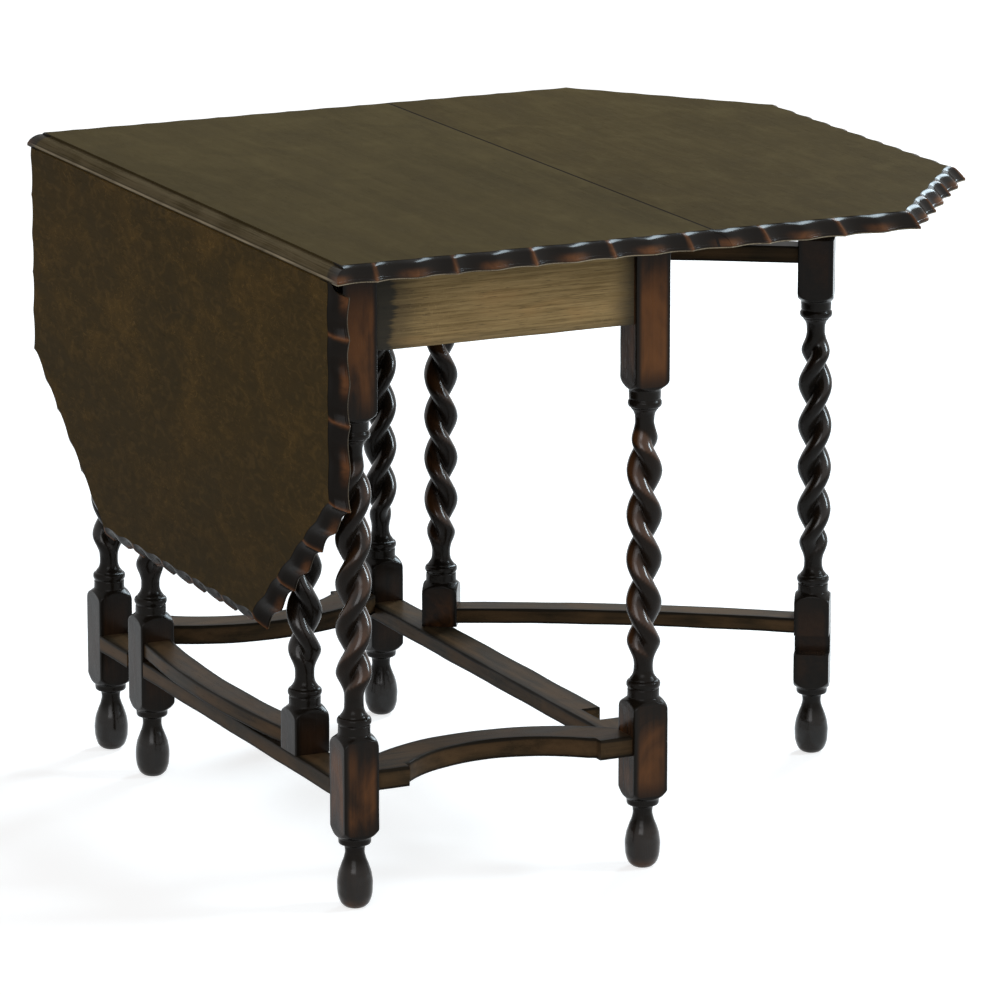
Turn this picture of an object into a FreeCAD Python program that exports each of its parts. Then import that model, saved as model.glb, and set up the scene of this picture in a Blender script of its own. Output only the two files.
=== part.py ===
"""Barley-twist gateleg drop-leaf table, one leaf up on its open gate, one leaf hanging."""
import FreeCAD, Part

import math
import os
import re
from types import SimpleNamespace

from FreeCAD import Placement, Rotation, Vector

# Driving dimensions in millimetres, angles in degrees
SIZES = {
    # Top: x runs across the hinge lines, y along them
    "table_high": 740.0,
    "board_thick": 18.0,
    "half_length": 445.7,
    "hinge_out": 222.3,
    "leaf_deep": 432.7,
    "corner_run": 250.0,
    "outer_half": 222.5,
    "crust_slope": 19.3,
    "scallop_pitch": 94.5,
    "scallop_deep": 6.0,
    # Rule joint and its hinges
    "pin_drop": 17.0,
    "rule_fillet": 3.0,
    "rule_gap": 0.4,
    "hinge_spread": 330.0,
    "hinge_wide": 60.0,
    "plate_thick": 2.0,
    "plate_step": 1.0,
    "frame_flap": 18.0,
    "leaf_flap": 36.0,
    "knuckle_gap": 0.3,
    "hinge_pin_radius": 1.5,
    "hinge_pin_fit": 0.06,
    # Screws
    "screw_radius": 1.6,
    "screw_head": 3.2,
    "screw_bite": 11.0,
    "screw_step": 20.0,
    # Posts, square where they are joined and turned between
    "post_wide": 42.0,
    "side_overhang": 44.7,
    "end_overhang": 92.7,
    "foot_high": 80.0,
    "low_block": 117.0,
    "top_block": 170.0,
    "collar_high": 40.0,
    "shoulder_high": 13.0,
    "bulb_radius": 20.0,
    "ledge_radius": 18.0,
    "ledge_high": 7.0,
    "collar_radius": 18.0,
    # Twist of two strands
    "strand_radius": 11.0,
    "strand_offset": 8.25,
    "twist_pitch": 101.0,
    "twist_fade": 34.0,
    "twist_inset": 0.3,
    "twist_lap": 3.0,
    # Aprons under the top
    "apron_high": 94.0,
    "end_apron_thick": 22.0,
    "end_apron_recess": 7.0,
    "long_apron_thick": 30.0,
    "long_apron_recess": 1.5,
    # Tenons
    "tenon_long": 19.0,
    "tenon_thick": 9.0,
    "tenon_shoulder": 10.0,
    "tenon_relief": 1.0,
    # Stretchers near the floor
    "stretcher_low": 126.0,
    "stretcher_thick": 19.5,
    "long_tenon_wide": 22.0,
    "long_tenon_rise": 3.0,
    "end_stretcher_low": 134.0,
    "end_stretcher_thick": 23.0,
    "end_stretcher_recess": 6.0,
    "end_tenon_wide": 24.0,
    "end_tenon_drop": 5.0,
    "stub_long": 40.6,
    "stub_step": 7.0,
    "stretcher_bow": 52.0,
    # Gates and their pivots
    "pivot_in_right": 135.5,
    "pivot_in_left": 133.0,
    "gate_in_right": 125.5,
    "gate_spread": 1.686055,
    "pin_out": 11.0,
    "pin_back": 13.0,
    "pin_radius": 4.0,
    "pin_fit": 0.06,
    "pin_in_post": 35.0,
    "pin_in_frame": 16.0,
    "seat_gap": 0.3,
    "rail_gap": 4.0,
    "rail_thick": 18.0,
    "rail_wide": 35.0,
    "rail_bow": 13.0,
    "top_rail_drop": 10.0,
    "top_rail_thick": 20.0,
    "top_rail_wide": 32.0,
    "rail_tenon_wide": 20.0,
    "halving_slack": 2.0,
    "halving_side": 3.5,
    "leg_top_gap": 0.5,
    # Blocks that stop the gates and hold the top
    "stop_wide": 20.0,
    "stop_long": 50.0,
    "stop_thick": 15.0,
    "stop_gap": 0.4,
    "fixing_long": 60.0,
    "fixing_wide": 22.0,
    "fixing_high": 25.0,
    "fixing_along": 150.0,
    # Cuts run past their piece by this much
    "overrun": 5.0,
}

# Places that follow from the driving dimensions, as formulas for the bound pieces
FOLLOWING = {
    "post_out": "(hinge_out - side_overhang)",
    "leg_along": "(half_length - end_overhang)",
    "pivot_along_right": "(leg_along - pivot_in_right)",
    "pivot_along_left": "(leg_along - pivot_in_left)",
    "gate_long": "(leg_along + pivot_along_right - gate_in_right)",
}

# Section of the carved edge: share of its slope inwards, share of the board down
CRUST_SHARES = ((0.03, 1.0), (0.0, 0.86), (0.10, 0.70), (0.42, 0.50), (0.80, 0.18), (0.92, 0.03), (1.0, 0.0))
# Foot outline: share of the bulb's radius, share of the foot's height
BULB_SHARES = ((0.42, 0.0), (0.80, 0.08), (0.97, 0.21), (1.0, 0.34), (0.93, 0.49),
               (0.76, 0.62), (0.61, 0.72), (0.55, 0.80), (0.57, 0.87))
# Turned collar: share of the collar's radius, share of its height, from the block to the neck
BEAD_SHARES = ((1.0, 0.05), (1.0, 0.27), (0.95, 0.32), (1.06, 0.43), (0.95, 0.53))
COVE_SHARES = ((0.95, 0.53), (0.78, 0.62), (0.64, 0.72), (0.60, 0.83))
# Where each twist stands: share of half a pitch
TWIST_SHARES = {
    "leg_near_left": 0.42, "leg_near_right": 0.93, "leg_far_right": 0.78, "leg_far_left": 0.0,
    "gate_leg_left": 0.01, "gate_leg_right": 0.40, "pivot_post_left": 0.92, "pivot_post_right": 0.45,
}
POLES_ROUND = 32
POLE_TURN = 12.0

doc = FreeCAD.newDocument("GatelegTable")
sheet = doc.addObject("Spreadsheet::Sheet", "Sizes")
for row, (alias, number) in enumerate(SIZES.items(), start=1):
    sheet.set("A%d" % row, alias)
    sheet.set("B%d" % row, str(number))
    sheet.setAlias("B%d" % row, alias)
doc.recompute()
S = SimpleNamespace(**{alias: float(sheet.get(alias)) for alias in SIZES})

# The same places, and others, as numbers for the worked-out shapes
S.post_out = S.hinge_out - S.side_overhang
S.leg_along = S.half_length - S.end_overhang
S.pivot_along_right = S.leg_along - S.pivot_in_right
S.pivot_along_left = S.leg_along - S.pivot_in_left
S.gate_long = S.leg_along + S.pivot_along_right - S.gate_in_right
# A gate opens further for a deep leaf and less where it is long, so that its leg stays under the leaf
S.gate_open = math.degrees(math.atan(S.gate_spread * (S.leaf_deep / S.gate_long) ** 2))
HALF = S.post_wide / 2
FRAME_HIGH = S.table_high - S.board_thick
APRON_LOW = FRAME_HIGH - S.apron_high
STRETCHER_TOP = S.stretcher_low + S.stretcher_thick
HINGE_HIGH = S.table_high - S.pin_drop
RULE_RADIUS = S.pin_drop - S.rule_fillet
KNUCKLE = S.plate_thick + S.board_thick - S.pin_drop
LOW_FACE = S.foot_high + S.low_block
TOP_FACE = FRAME_HIGH - S.top_block
NECK_RADIUS = COVE_SHARES[-1][0] * S.collar_radius
MIDDLE = "(leaf_deep - pin_drop) / 2"
SHIFT = Placement(Vector(-(S.leaf_deep - S.pin_drop) / 2, 0, 0), Rotation())
UP = Vector(0, 0, 1)
ALONG = Vector(0, 1, 0)
pieces = []


# Helpers for pieces bound to the sheet and for plain shapes
def on_sheet(word):
    """One word of a formula, as the sheet knows it."""
    name = word.group()
    if name in FOLLOWING:
        return bound(FOLLOWING[name])
    return "Sizes." + name if name in SIZES else name


def bound(text):
    """Turn a formula in size names into an expression on the sheet."""
    return re.sub(r"[a-z_]+", on_sheet, text)


def bound_box(name, corner, edges):
    """A box whose low corner and edges follow the sheet."""
    box = doc.addObject("Part::Box", name)
    for prop, text in zip(("Length", "Width", "Height"), edges):
        box.setExpression(prop, bound(text))
    for axis, text in zip("xyz", corner):
        box.setExpression("Placement.Base." + axis, bound(text))
    return box


def bound_pin(name, foot, radius, height):
    """An upright cylinder that follows the sheet."""
    pin = doc.addObject("Part::Cylinder", name)
    pin.setExpression("Radius", bound(radius))
    pin.setExpression("Height", bound(height))
    for axis, text in zip("xyz", foot):
        pin.setExpression("Placement.Base." + axis, bound(text))
    return pin


def bound_sum(kind, name, members):
    """A fuse or compound of bound pieces."""
    total = doc.addObject(kind, name)
    setattr(total, "Links" if kind == "Part::Compound" else "Shapes", members)
    return total


def bound_cut(name, base, tool):
    """A cut of one bound piece by another."""
    cut = doc.addObject("Part::Cut", name)
    cut.Base = base
    cut.Tool = tool
    return cut


def keep_bound(piece, label):
    """Give a bound piece its label and place it in the part's own frame."""
    piece.Label = label
    piece.setExpression("Placement.Base.x", bound("-" + MIDDLE))
    pieces.append(piece)


def keep_shape(label, shape):
    """Add a shape worked out from the sheet as a piece of the document."""
    piece = doc.addObject("Part::Feature", label)
    own = shape.Placement
    piece.Shape = shape
    piece.Placement = SHIFT.multiply(own)
    piece.Label = label
    pieces.append(piece)


def span(xs, ys, zs):
    """A box between two values on each axis, in either order."""
    low = Vector(min(xs), min(ys), min(zs))
    return Part.makeBox(max(xs) - low.x, max(ys) - low.y, max(zs) - low.z, low)


def extrude_outline(edges, low, high):
    """A solid from a flat closed outline drawn at the level zero."""
    face = Part.Face(Part.Wire(Part.sortEdges(edges)[0]))
    solid = face.extrude(UP * (high - low))
    solid.translate(UP * low)
    return solid


def line(start, end):
    """A straight edge."""
    return Part.LineSegment(start, end).toShape()


def arc(start, middle, end):
    """A round edge through three points."""
    return Part.Arc(start, middle, end).toShape()


# Top boards with their carved edge
def scalloped_wire(inset, level, bite):
    """The octagonal outline, drawn in by an inset, with hollow scallops between cusps."""
    reach = S.hinge_out + S.leaf_deep
    run = S.hinge_out + S.corner_run
    cant = Vector(S.half_length - S.outer_half, -(S.leaf_deep - S.corner_run), 0)
    half_turn = math.atan2(cant.x, -cant.y) / 2
    trim_end = inset * math.tan(math.pi / 4 - half_turn)
    trim_side = inset * math.tan(half_turn)
    wide, deep = reach - inset, S.half_length - inset
    plain = [(run - trim_end, -deep), (wide, -S.outer_half + trim_side)]
    plain += [(x, -y) for x, y in reversed(plain)]
    corners = [Vector(x, y, level) for x, y in plain + [(-x, -y) for x, y in plain]]
    outer = [(run, -S.half_length), (reach, -S.outer_half)]
    outer += [(x, -y) for x, y in reversed(outer)]
    full = [Vector(x, y, level) for x, y in outer + [(-x, -y) for x, y in outer]]
    edges = []
    for here in range(len(corners)):
        start, end = corners[here], corners[(here + 1) % len(corners)]
        whole = (full[(here + 1) % len(full)] - full[here]).Length
        count = 2 * max(1, round(whole / S.scallop_pitch))
        step = (end - start) / count
        inward = UP.cross(step).normalize()
        for part in range(count):
            first = start + step * part
            last = start + step * (part + 1)
            edges.append(arc(first, (first + last) / 2 + inward * bite, last))
    return Part.Wire(edges)


def carved_top():
    """The whole open top as one solid, before it is parted at the rule joints."""
    wires = []
    for slope_share, drop_share in CRUST_SHARES:
        bite = S.scallop_deep * (1 - slope_share / 3)
        level = S.table_high - drop_share * S.board_thick
        wires.append(scalloped_wire(slope_share * S.crust_slope, level, bite))
    return Part.makeLoft(wires, True, True)


def rule_edges(side, radius, edge_out):
    """The curved part of a rule joint's section, from the top face to the underside."""
    top = S.table_high
    start = edge_out
    rise = math.sqrt(radius ** 2 - (edge_out - S.hinge_out) ** 2)
    bend = radius * math.sqrt(0.5)
    corner = Vector(side * start, 0, HINGE_HIGH + rise)
    lip = Vector(side * (S.hinge_out + radius), 0, HINGE_HIGH)
    middle = Vector(side * (S.hinge_out + bend), 0, HINGE_HIGH + bend)
    under = Vector(side * (S.hinge_out + radius), 0, FRAME_HIGH)
    head = Vector(side * start, 0, top)
    return head, under, [line(head, corner), arc(corner, middle, lip), line(lip, under)]


def section_prism(edges):
    """A section in the x and z plane run along the whole top."""
    face = Part.Face(Part.Wire(Part.sortEdges(edges)[0]))
    prism = face.extrude(ALONG * 2 * (S.half_length + S.overrun))
    prism.translate(-ALONG * (S.half_length + S.overrun))
    return prism


def fixed_board(whole):
    """The middle board between the two rule joints."""
    right_head, right_under, right = rule_edges(1, RULE_RADIUS, S.hinge_out)
    left_head, left_under, left = rule_edges(-1, RULE_RADIUS, S.hinge_out)
    edges = right + left + [line(left_head, right_head), line(left_under, right_under)]
    return whole.common(section_prism(edges))


def leaf_board(whole, side):
    """A leaf in its raised place."""
    head, under, edges = rule_edges(side, RULE_RADIUS + S.rule_gap, S.hinge_out + S.rule_gap)
    far = side * (S.hinge_out + S.leaf_deep + S.overrun)
    far_head = Vector(far, 0, S.table_high)
    far_under = Vector(far, 0, FRAME_HIGH)
    edges += [line(head, far_head), line(far_head, far_under), line(far_under, under)]
    return whole.common(section_prism(edges))


def hang(shape):
    """Turn a raised piece of the left leaf down to where it hangs."""
    lowered = shape.copy()
    lowered.rotate(Vector(-S.hinge_out, 0, HINGE_HIGH), ALONG, -90)
    return lowered


# Hinges of the rule joints
HINGE_PLACES = (-S.hinge_spread, 0.0, S.hinge_spread)
KNUCKLE_CUT = KNUCKLE + S.knuckle_gap
MIDDLE_KNUCKLE = S.hinge_wide / 6


def screw(place, way, plate):
    """A countersunk wood screw: its head lies flush in a plate, its shank bites the board."""
    head = Part.makeCone(S.screw_head, S.screw_radius, plate, place, way)
    shank = Part.makeCylinder(S.screw_radius, S.screw_bite, place + way * plate, way)
    return head.fuse(shank).removeSplitter()


def hinge_screws(out):
    """Screws of one row of plates, from below, at a distance out from the middle."""
    low = FRAME_HIGH - S.plate_thick
    rows = [hinge + step * S.screw_step for hinge in HINGE_PLACES for step in (-1, 0, 1)]
    return [screw(Vector(out, y, low), UP, S.plate_thick) for y in rows]


def knuckle(side, low, high):
    """A length of barrel round the hinge pin."""
    return Part.makeCylinder(KNUCKLE, high - low, Vector(side * S.hinge_out, low, HINGE_HIGH), ALONG)


def hinge_plates(side, on_leaf, screws):
    """The three plates of one side, on the fixed board or on the raised leaf."""
    low = FRAME_HIGH - S.plate_thick
    way = side if on_leaf else -side
    gap = S.knuckle_gap / 2
    flap = S.leaf_flap if on_leaf else S.frame_flap
    near = S.hinge_out * side + way * (KNUCKLE + S.plate_step)
    bore = S.hinge_pin_radius + S.hinge_pin_fit
    plates = []
    for middle in HINGE_PLACES:
        half = S.hinge_wide / 2
        bands = ((-MIDDLE_KNUCKLE + gap, MIDDLE_KNUCKLE - gap),)
        if not on_leaf:
            bands = ((-half, -MIDDLE_KNUCKLE - gap), (MIDDLE_KNUCKLE + gap, half))
        plate = span((near, near + way * flap), (middle - half, middle + half), (low, FRAME_HIGH))
        for start, end in bands:
            tongue = span((near, side * S.hinge_out), (middle + start, middle + end), (low, FRAME_HIGH))
            plate = plate.fuse([tongue, knuckle(side, middle + start, middle + end)])
        hole = Part.makeCylinder(bore, S.hinge_wide + S.overrun,
                                 Vector(side * S.hinge_out, middle - half - S.overrun / 2, HINGE_HIGH), ALONG)
        plates.append(plate.cut(hole).cut(screws).removeSplitter())
    return Part.makeCompound(plates)


def hinge_pins(side):
    """The three pins of one side."""
    half = S.hinge_wide / 2
    return Part.makeCompound([
        Part.makeCylinder(S.hinge_pin_radius, S.hinge_wide,
                          Vector(side * S.hinge_out, middle - half, HINGE_HIGH), ALONG)
        for middle in HINGE_PLACES])


def knuckle_pockets():
    """Room in the fixed board for the barrels and for the leaf plates that pass under its lips."""
    cuts = []
    half = S.hinge_wide / 2 + S.knuckle_gap
    for side in (-1, 1):
        for middle in HINGE_PLACES:
            barrel = Part.makeCylinder(KNUCKLE_CUT, 2 * half,
                                       Vector(side * S.hinge_out, middle - half, HINGE_HIGH), ALONG)
            reach = side * (S.hinge_out + RULE_RADIUS + S.overrun)
            slot = span((side * (S.hinge_out - KNUCKLE_CUT), reach), (middle - half, middle + half),
                        (FRAME_HIGH - S.overrun, HINGE_HIGH))
            cuts += [barrel, slot]
    return cuts


# Turned and twisted posts
def post_outline(face, way, edges):
    """The shoulder, collar, bead and cove from a block's face to the neck."""
    block = S.post_wide
    corner = HALF * math.sqrt(2) + S.twist_inset
    reach = [Vector(radius * S.collar_radius, 0, face + way * rise * S.collar_high)
             for radius, rise in BEAD_SHARES]
    drop = Vector(corner, 0, face - way * S.shoulder_high)
    swell = Vector((corner + S.collar_radius) / 2 + block / 16, 0, face - way * S.shoulder_high / 4)
    edges.append(arc(drop, swell, reach[0]))
    edges.append(line(reach[0], reach[1]))
    edges.append(line(reach[1], reach[2]))
    edges.append(arc(reach[2], reach[3], reach[4]))
    cove = Part.BSplineCurve()
    cove.interpolate([Vector(radius * S.collar_radius, 0, face + way * rise * S.collar_high)
                      for radius, rise in COVE_SHARES])
    edges.append(cove.toShape())
    neck = Vector(NECK_RADIUS, 0, face + way * COVE_SHARES[-1][1] * S.collar_high)
    top = Vector(NECK_RADIUS, 0, face + way * S.collar_high)
    axis = Vector(0, 0, face + way * S.collar_high)
    edges.append(line(neck, top))
    edges.append(line(top, axis))
    return drop, axis


def revolve(edges):
    """A turned solid from an outline that closes on the axis."""
    face = Part.Face(Part.Wire(Part.sortEdges(edges)[0]))
    return face.revolve(Vector(), UP, 360)


def square(low, high):
    """The square stock of a post between two levels."""
    return span((-HALF, HALF), (-HALF, HALF), (low, high))


def foot_part():
    """A post's lower end with its bulb foot and lower block."""
    edges = []
    drop, axis = post_outline(LOW_FACE, 1, edges)
    bulb = Part.BSplineCurve()
    points = [Vector(radius * S.bulb_radius, 0, rise * S.foot_high) for radius, rise in BULB_SHARES]
    bulb.interpolate(points)
    ledge = Vector(S.ledge_radius, 0, S.foot_high - S.ledge_high)
    ledge_top = Vector(S.ledge_radius, 0, S.foot_high)
    corner = Vector(drop.x, 0, S.foot_high + S.shoulder_high)
    swell = Vector((corner.x + S.ledge_radius) / 2 + S.post_wide / 16, 0, S.foot_high + S.shoulder_high / 4)
    edges += [line(Vector(), points[0]), bulb.toShape(), line(points[-1], ledge), line(ledge, ledge_top)]
    edges += [arc(ledge_top, swell, corner), line(corner, drop), line(axis, Vector())]
    return revolve(edges).common(square(0, LOW_FACE + S.collar_high))


def block_part(face, way, end):
    """A post's end that is square from a face out to its end."""
    edges = []
    drop, axis = post_outline(face, way, edges)
    rim = Vector(drop.x, 0, end)
    edges += [line(drop, rim), line(rim, Vector(0, 0, end)), line(Vector(0, 0, end), axis)]
    return revolve(edges).common(square(min(end, axis.z), max(end, axis.z)))


def twist_part(hand, share):
    """Two strands wound round each other, fading into the necks, as one smooth solid."""
    low = LOW_FACE + S.collar_high - S.twist_lap
    high = TOP_FACE - S.collar_high + S.twist_lap
    rows = round((high - low) / S.twist_pitch * 360 / POLE_TURN)
    swell = 36 / ((4 + 2 * math.cos(2 * math.pi / POLES_ROUND)) * (4 + 2 * math.cos(math.radians(POLE_TURN))))
    grid = []
    for around in range(POLES_ROUND):
        angle = 2 * math.pi * around / POLES_ROUND
        strip = []
        for row in range(rows + 1):
            level = low + (high - low) * row / rows
            edge = min(level - low, high - level) / S.twist_fade
            fade = math.sin(min(edge, 1) * math.pi / 2) ** 2
            offset = S.strand_offset * fade
            slim = NECK_RADIUS - S.twist_inset
            strand = slim + (S.strand_radius - slim) * fade
            radius = offset * abs(math.cos(angle)) + math.sqrt(strand ** 2 - (offset * math.sin(angle)) ** 2)
            radius *= 1 + (swell - 1) * fade
            turn = angle + hand * 2 * math.pi * (level / S.twist_pitch - share / 2)
            strip.append(Vector(radius * math.cos(turn), radius * math.sin(turn), level))
        grid.append(strip)
    surface = Part.BSplineSurface()
    knots = [float(step) for step in range(rows - 1)]
    surface.buildFromPolesMultsKnots(
        grid, [1] * (POLES_ROUND + 1), [4] + [1] * (rows - 3) + [4],
        [float(step) for step in range(POLES_ROUND + 1)], knots, True, False, 3, 3)
    side = surface.toShape()
    rims = [edge for edge in side.Edges if edge.BoundBox.ZLength < S.twist_inset]
    caps = [Part.Face(Part.Wire([rim])) for rim in rims]
    shell = Part.makeShell([side] + caps)
    shell.sewShape()
    solid = Part.makeSolid(shell)
    if solid.Volume < 0:
        solid.reverse()
    return solid


def whole_post(low_part, top_part, hand, share):
    """A post from its two square ends and the twist between."""
    return low_part.fuse([twist_part(hand, share), top_part])


# Tenons: each is drawn once and serves its rail and the mortise
def corner_tenons(side, end, relief):
    """The four tenons that meet in one leg, longer by the relief for their mortises."""
    reach = S.tenon_long + relief
    face_out = S.post_out - HALF
    face_along = S.leg_along - HALF
    end_apron = S.leg_along + HALF - S.end_apron_recess - S.end_apron_thick / 2
    long_apron = S.post_out + HALF - S.long_apron_recess - S.long_apron_thick / 2
    apron_levels = (APRON_LOW + S.tenon_shoulder, FRAME_HIGH - S.tenon_shoulder)
    end_top = S.end_stretcher_low + S.end_stretcher_thick - S.end_tenon_drop
    end_middle = S.leg_along + HALF - S.end_stretcher_recess - S.post_wide / 2
    long_low = S.stretcher_low + S.long_tenon_rise
    half_thick = S.tenon_thick / 2
    half_end = S.end_tenon_wide / 2
    half_long = S.long_tenon_wide / 2
    return {
        "end_apron": span((side * face_out, side * (face_out + reach)),
                          (end * (end_apron - half_thick), end * (end_apron + half_thick)), apron_levels),
        "long_apron": span((side * (long_apron - half_thick), side * (long_apron + half_thick)),
                           (end * face_along, end * (face_along + reach)), apron_levels),
        "end_stretcher": span((side * face_out, side * (face_out + reach)),
                              (end * (end_middle - half_end), end * (end_middle + half_end)),
                              (end_top - S.tenon_thick, end_top)),
        "long_stretcher": span((side * (S.post_out - half_long), side * (S.post_out + half_long)),
                               (end * face_along, end * (face_along + reach)),
                               (long_low, long_low + S.tenon_thick)),
    }


LEGS = {
    "leg_near_left": (-1, -1, 1), "leg_near_right": (1, -1, -1),
    "leg_far_right": (1, 1, 1), "leg_far_left": (-1, 1, -1),
}


def frame_leg(name, low_part, top_part):
    """A corner leg of the frame with its four mortises."""
    side, end, hand = LEGS[name]
    leg = whole_post(low_part, top_part, hand, TWIST_SHARES[name])
    leg.translate(Vector(side * S.post_out, end * S.leg_along, 0))
    return leg.cut(list(corner_tenons(side, end, S.tenon_relief).values()))


# Rails of the frame, bound to the sheet
FACE_OUT = "(post_out - post_wide / 2)"
FACE_ALONG = "(leg_along - post_wide / 2)"
APRON_FOOT = "(table_high - board_thick - apron_high)"


def end_apron(label, end):
    """A plain board between two legs under an end of the top."""
    low_y = "-(leg_along + post_wide / 2 - end_apron_recess)"
    if end > 0:
        low_y = "leg_along + post_wide / 2 - end_apron_recess - end_apron_thick"
    board = bound_box(label + "_board", ("-" + FACE_OUT, low_y, APRON_FOOT),
                      ("2 * " + FACE_OUT, "end_apron_thick", "apron_high"))
    tongue = bound_box(label + "_tongue",
                       ("-" + FACE_OUT + " - tenon_long", low_y + " + (end_apron_thick - tenon_thick) / 2",
                        APRON_FOOT + " + tenon_shoulder"),
                       ("2 * " + FACE_OUT + " + 2 * tenon_long", "tenon_thick",
                        "apron_high - 2 * tenon_shoulder"))
    keep_bound(bound_sum("Part::MultiFuse", label, [board, tongue]), label)


def pivot_places(side):
    """Formulas for the pivot pin and for the middle of the closed gate leg."""
    pivot = "pivot_along_right" if side > 0 else "pivot_along_left"
    sign = "" if side > 0 else "-"
    pin_x = sign + "(post_out + pin_out)"
    pin_y = sign + "(" + pivot + " + pin_back)"
    leg_y = sign + "(" + pivot + " - gate_long)"
    return pin_x, pin_y, leg_y


def long_rail(label, side, body, tongue, pin_foot, pin_high):
    """A rail along a hinge line: tenons at both ends, a notch for the gate leg, a pivot hole."""
    pin_x, pin_y, leg_y = pivot_places(side)
    low_x, wide, low_z, high = body
    board = bound_box(label + "_board", (low_x, "-" + FACE_ALONG, low_z), (wide, "2 * " + FACE_ALONG, high))
    tongue_x, tongue_wide, tongue_z, tongue_high = tongue
    bar = bound_box(label + "_tongue", (tongue_x, "-" + FACE_ALONG + " - tenon_long", tongue_z),
                    (tongue_wide, "2 * " + FACE_ALONG + " + 2 * tenon_long", tongue_high))
    notch_x = "post_out - halving_slack" if side > 0 else "-(post_out + post_wide / 2) - overrun"
    notch = bound_box(label + "_notch",
                      (notch_x, leg_y + " - post_wide / 2 - halving_side", low_z + " - overrun"),
                      ("post_wide / 2 + halving_slack + overrun", "post_wide + 2 * halving_side",
                       high + " + 2 * overrun"))
    hole = bound_pin(label + "_hole", (pin_x, pin_y, pin_foot), "pin_radius + pin_fit", pin_high)
    whole = bound_sum("Part::MultiFuse", label + "_whole", [board, bar])
    tools = bound_sum("Part::MultiFuse", label + "_tools", [notch, hole])
    keep_bound(bound_cut(label, whole, tools), label)


def long_apron(label, side):
    """The board under a hinge line that holds the top pivot of its gate."""
    face = "(post_out + post_wide / 2 - long_apron_recess)"
    low_x = face + " - long_apron_thick" if side > 0 else "-" + face
    body = (low_x, "long_apron_thick", APRON_FOOT, "apron_high")
    tongue = (low_x + " + (long_apron_thick - tenon_thick) / 2", "tenon_thick",
              APRON_FOOT + " + tenon_shoulder", "apron_high - 2 * tenon_shoulder")
    long_rail(label, side, body, tongue, APRON_FOOT + " - overrun",
              "pin_in_frame + seat_gap + overrun")


def long_stretcher(label, side):
    """The flat bar near the floor that holds the lower pivot of its gate."""
    low_x = "post_out - post_wide / 2" if side > 0 else "-(post_out + post_wide / 2)"
    body = (low_x, "post_wide", "stretcher_low", "stretcher_thick")
    tongue = (low_x + " + (post_wide - long_tenon_wide) / 2", "long_tenon_wide",
              "stretcher_low + long_tenon_rise", "tenon_thick")
    long_rail(label, side, body, tongue, "stretcher_low + stretcher_thick - pin_in_frame - seat_gap",
              "pin_in_frame + seat_gap + overrun")


def end_stretcher(end):
    """The bowed bar between two legs: stubs flush at its ends, a hollow bow between."""
    face_out = S.post_out - HALF
    outer = S.leg_along + HALF - S.end_stretcher_recess
    inner = outer - S.post_wide
    stub = face_out - S.stub_long
    hollow = outer - S.stub_step
    crown = hollow - S.stretcher_bow
    corners = [Vector(-face_out, outer, 0), Vector(-stub, outer, 0), Vector(-stub, hollow, 0)]
    mirror = [Vector(-corner.x, corner.y, 0) for corner in reversed(corners)]
    edges = [line(corners[0], corners[1]), line(corners[1], corners[2])]
    edges += [arc(corners[2], Vector(0, crown, 0), mirror[0])]
    edges += [line(mirror[0], mirror[1]), line(mirror[1], mirror[2])]
    start, last = Vector(face_out, inner, 0), Vector(-face_out, inner, 0)
    edges += [line(mirror[2], start), arc(start, Vector(0, crown - S.post_wide, 0), last)]
    edges += [line(last, corners[0])]
    bar = extrude_outline(edges, S.end_stretcher_low, S.end_stretcher_low + S.end_stretcher_thick)
    if end < 0:
        bar = bar.mirror(Vector(), ALONG)
    tenons = [corner_tenons(side, end, 0)["end_stretcher"] for side in (-1, 1)]
    return bar.fuse(tenons).removeSplitter()


# Gates, drawn closed with their pivot post on the origin, x outwards and the leg at minus y
RAIL_LOW = STRETCHER_TOP + S.rail_gap
TOP_RAIL_LOW = APRON_LOW - S.top_rail_drop - S.top_rail_thick


def gate_rail(low, thick, wide, bow):
    """A rail between the pivot post and the gate leg, bowed outwards, with its tenons."""
    near, far = -HALF, -(S.gate_long - HALF)
    middle = (near + far) / 2
    half = wide / 2
    points = [Vector(half, near, 0), Vector(half, far, 0), Vector(-half, far, 0), Vector(-half, near, 0)]
    if bow > 0:
        edges = [arc(points[0], Vector(half + bow, middle, 0), points[1]),
                 arc(points[2], Vector(bow - half, middle, 0), points[3])]
    else:
        edges = [line(points[0], points[1]), line(points[2], points[3])]
    edges += [line(points[1], points[2]), line(points[3], points[0])]
    rail = extrude_outline(edges, low, low + thick)
    return rail.fuse(rail_tenons(low, thick, 0)).removeSplitter()


def rail_tenons(low, thick, relief):
    """The tenons of a gate rail, longer by the relief for their mortises."""
    reach = S.tenon_long + relief
    half = S.rail_tenon_wide / 2
    levels = (low + (thick - S.tenon_thick) / 2, low + (thick + S.tenon_thick) / 2)
    near, far = -HALF, -(S.gate_long - HALF)
    return [span((-half, half), (near, near + reach), levels),
            span((-half, half), (far, far - reach), levels)]


def gate_mortises():
    """The mortises of both rails in both posts of a gate."""
    return (rail_tenons(RAIL_LOW, S.rail_thick, S.tenon_relief)
            + rail_tenons(TOP_RAIL_LOW, S.top_rail_thick, S.tenon_relief))


def pivot_pins(grow, tip):
    """The lower and upper pivot pins, grown by a fit and run past their tips for the holes."""
    low = STRETCHER_TOP - S.pin_in_frame
    low_top = STRETCHER_TOP + S.seat_gap + S.pin_in_post
    high = APRON_LOW + S.pin_in_frame
    high_foot = APRON_LOW - S.seat_gap - S.pin_in_post
    place = Vector(S.pin_out, S.pin_back, 0)
    radius = S.pin_radius + grow
    return [Part.makeCylinder(radius, low_top - low + tip, place + UP * low, UP),
            Part.makeCylinder(radius, high - high_foot + tip, place + UP * (high_foot - tip), UP)]


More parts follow.
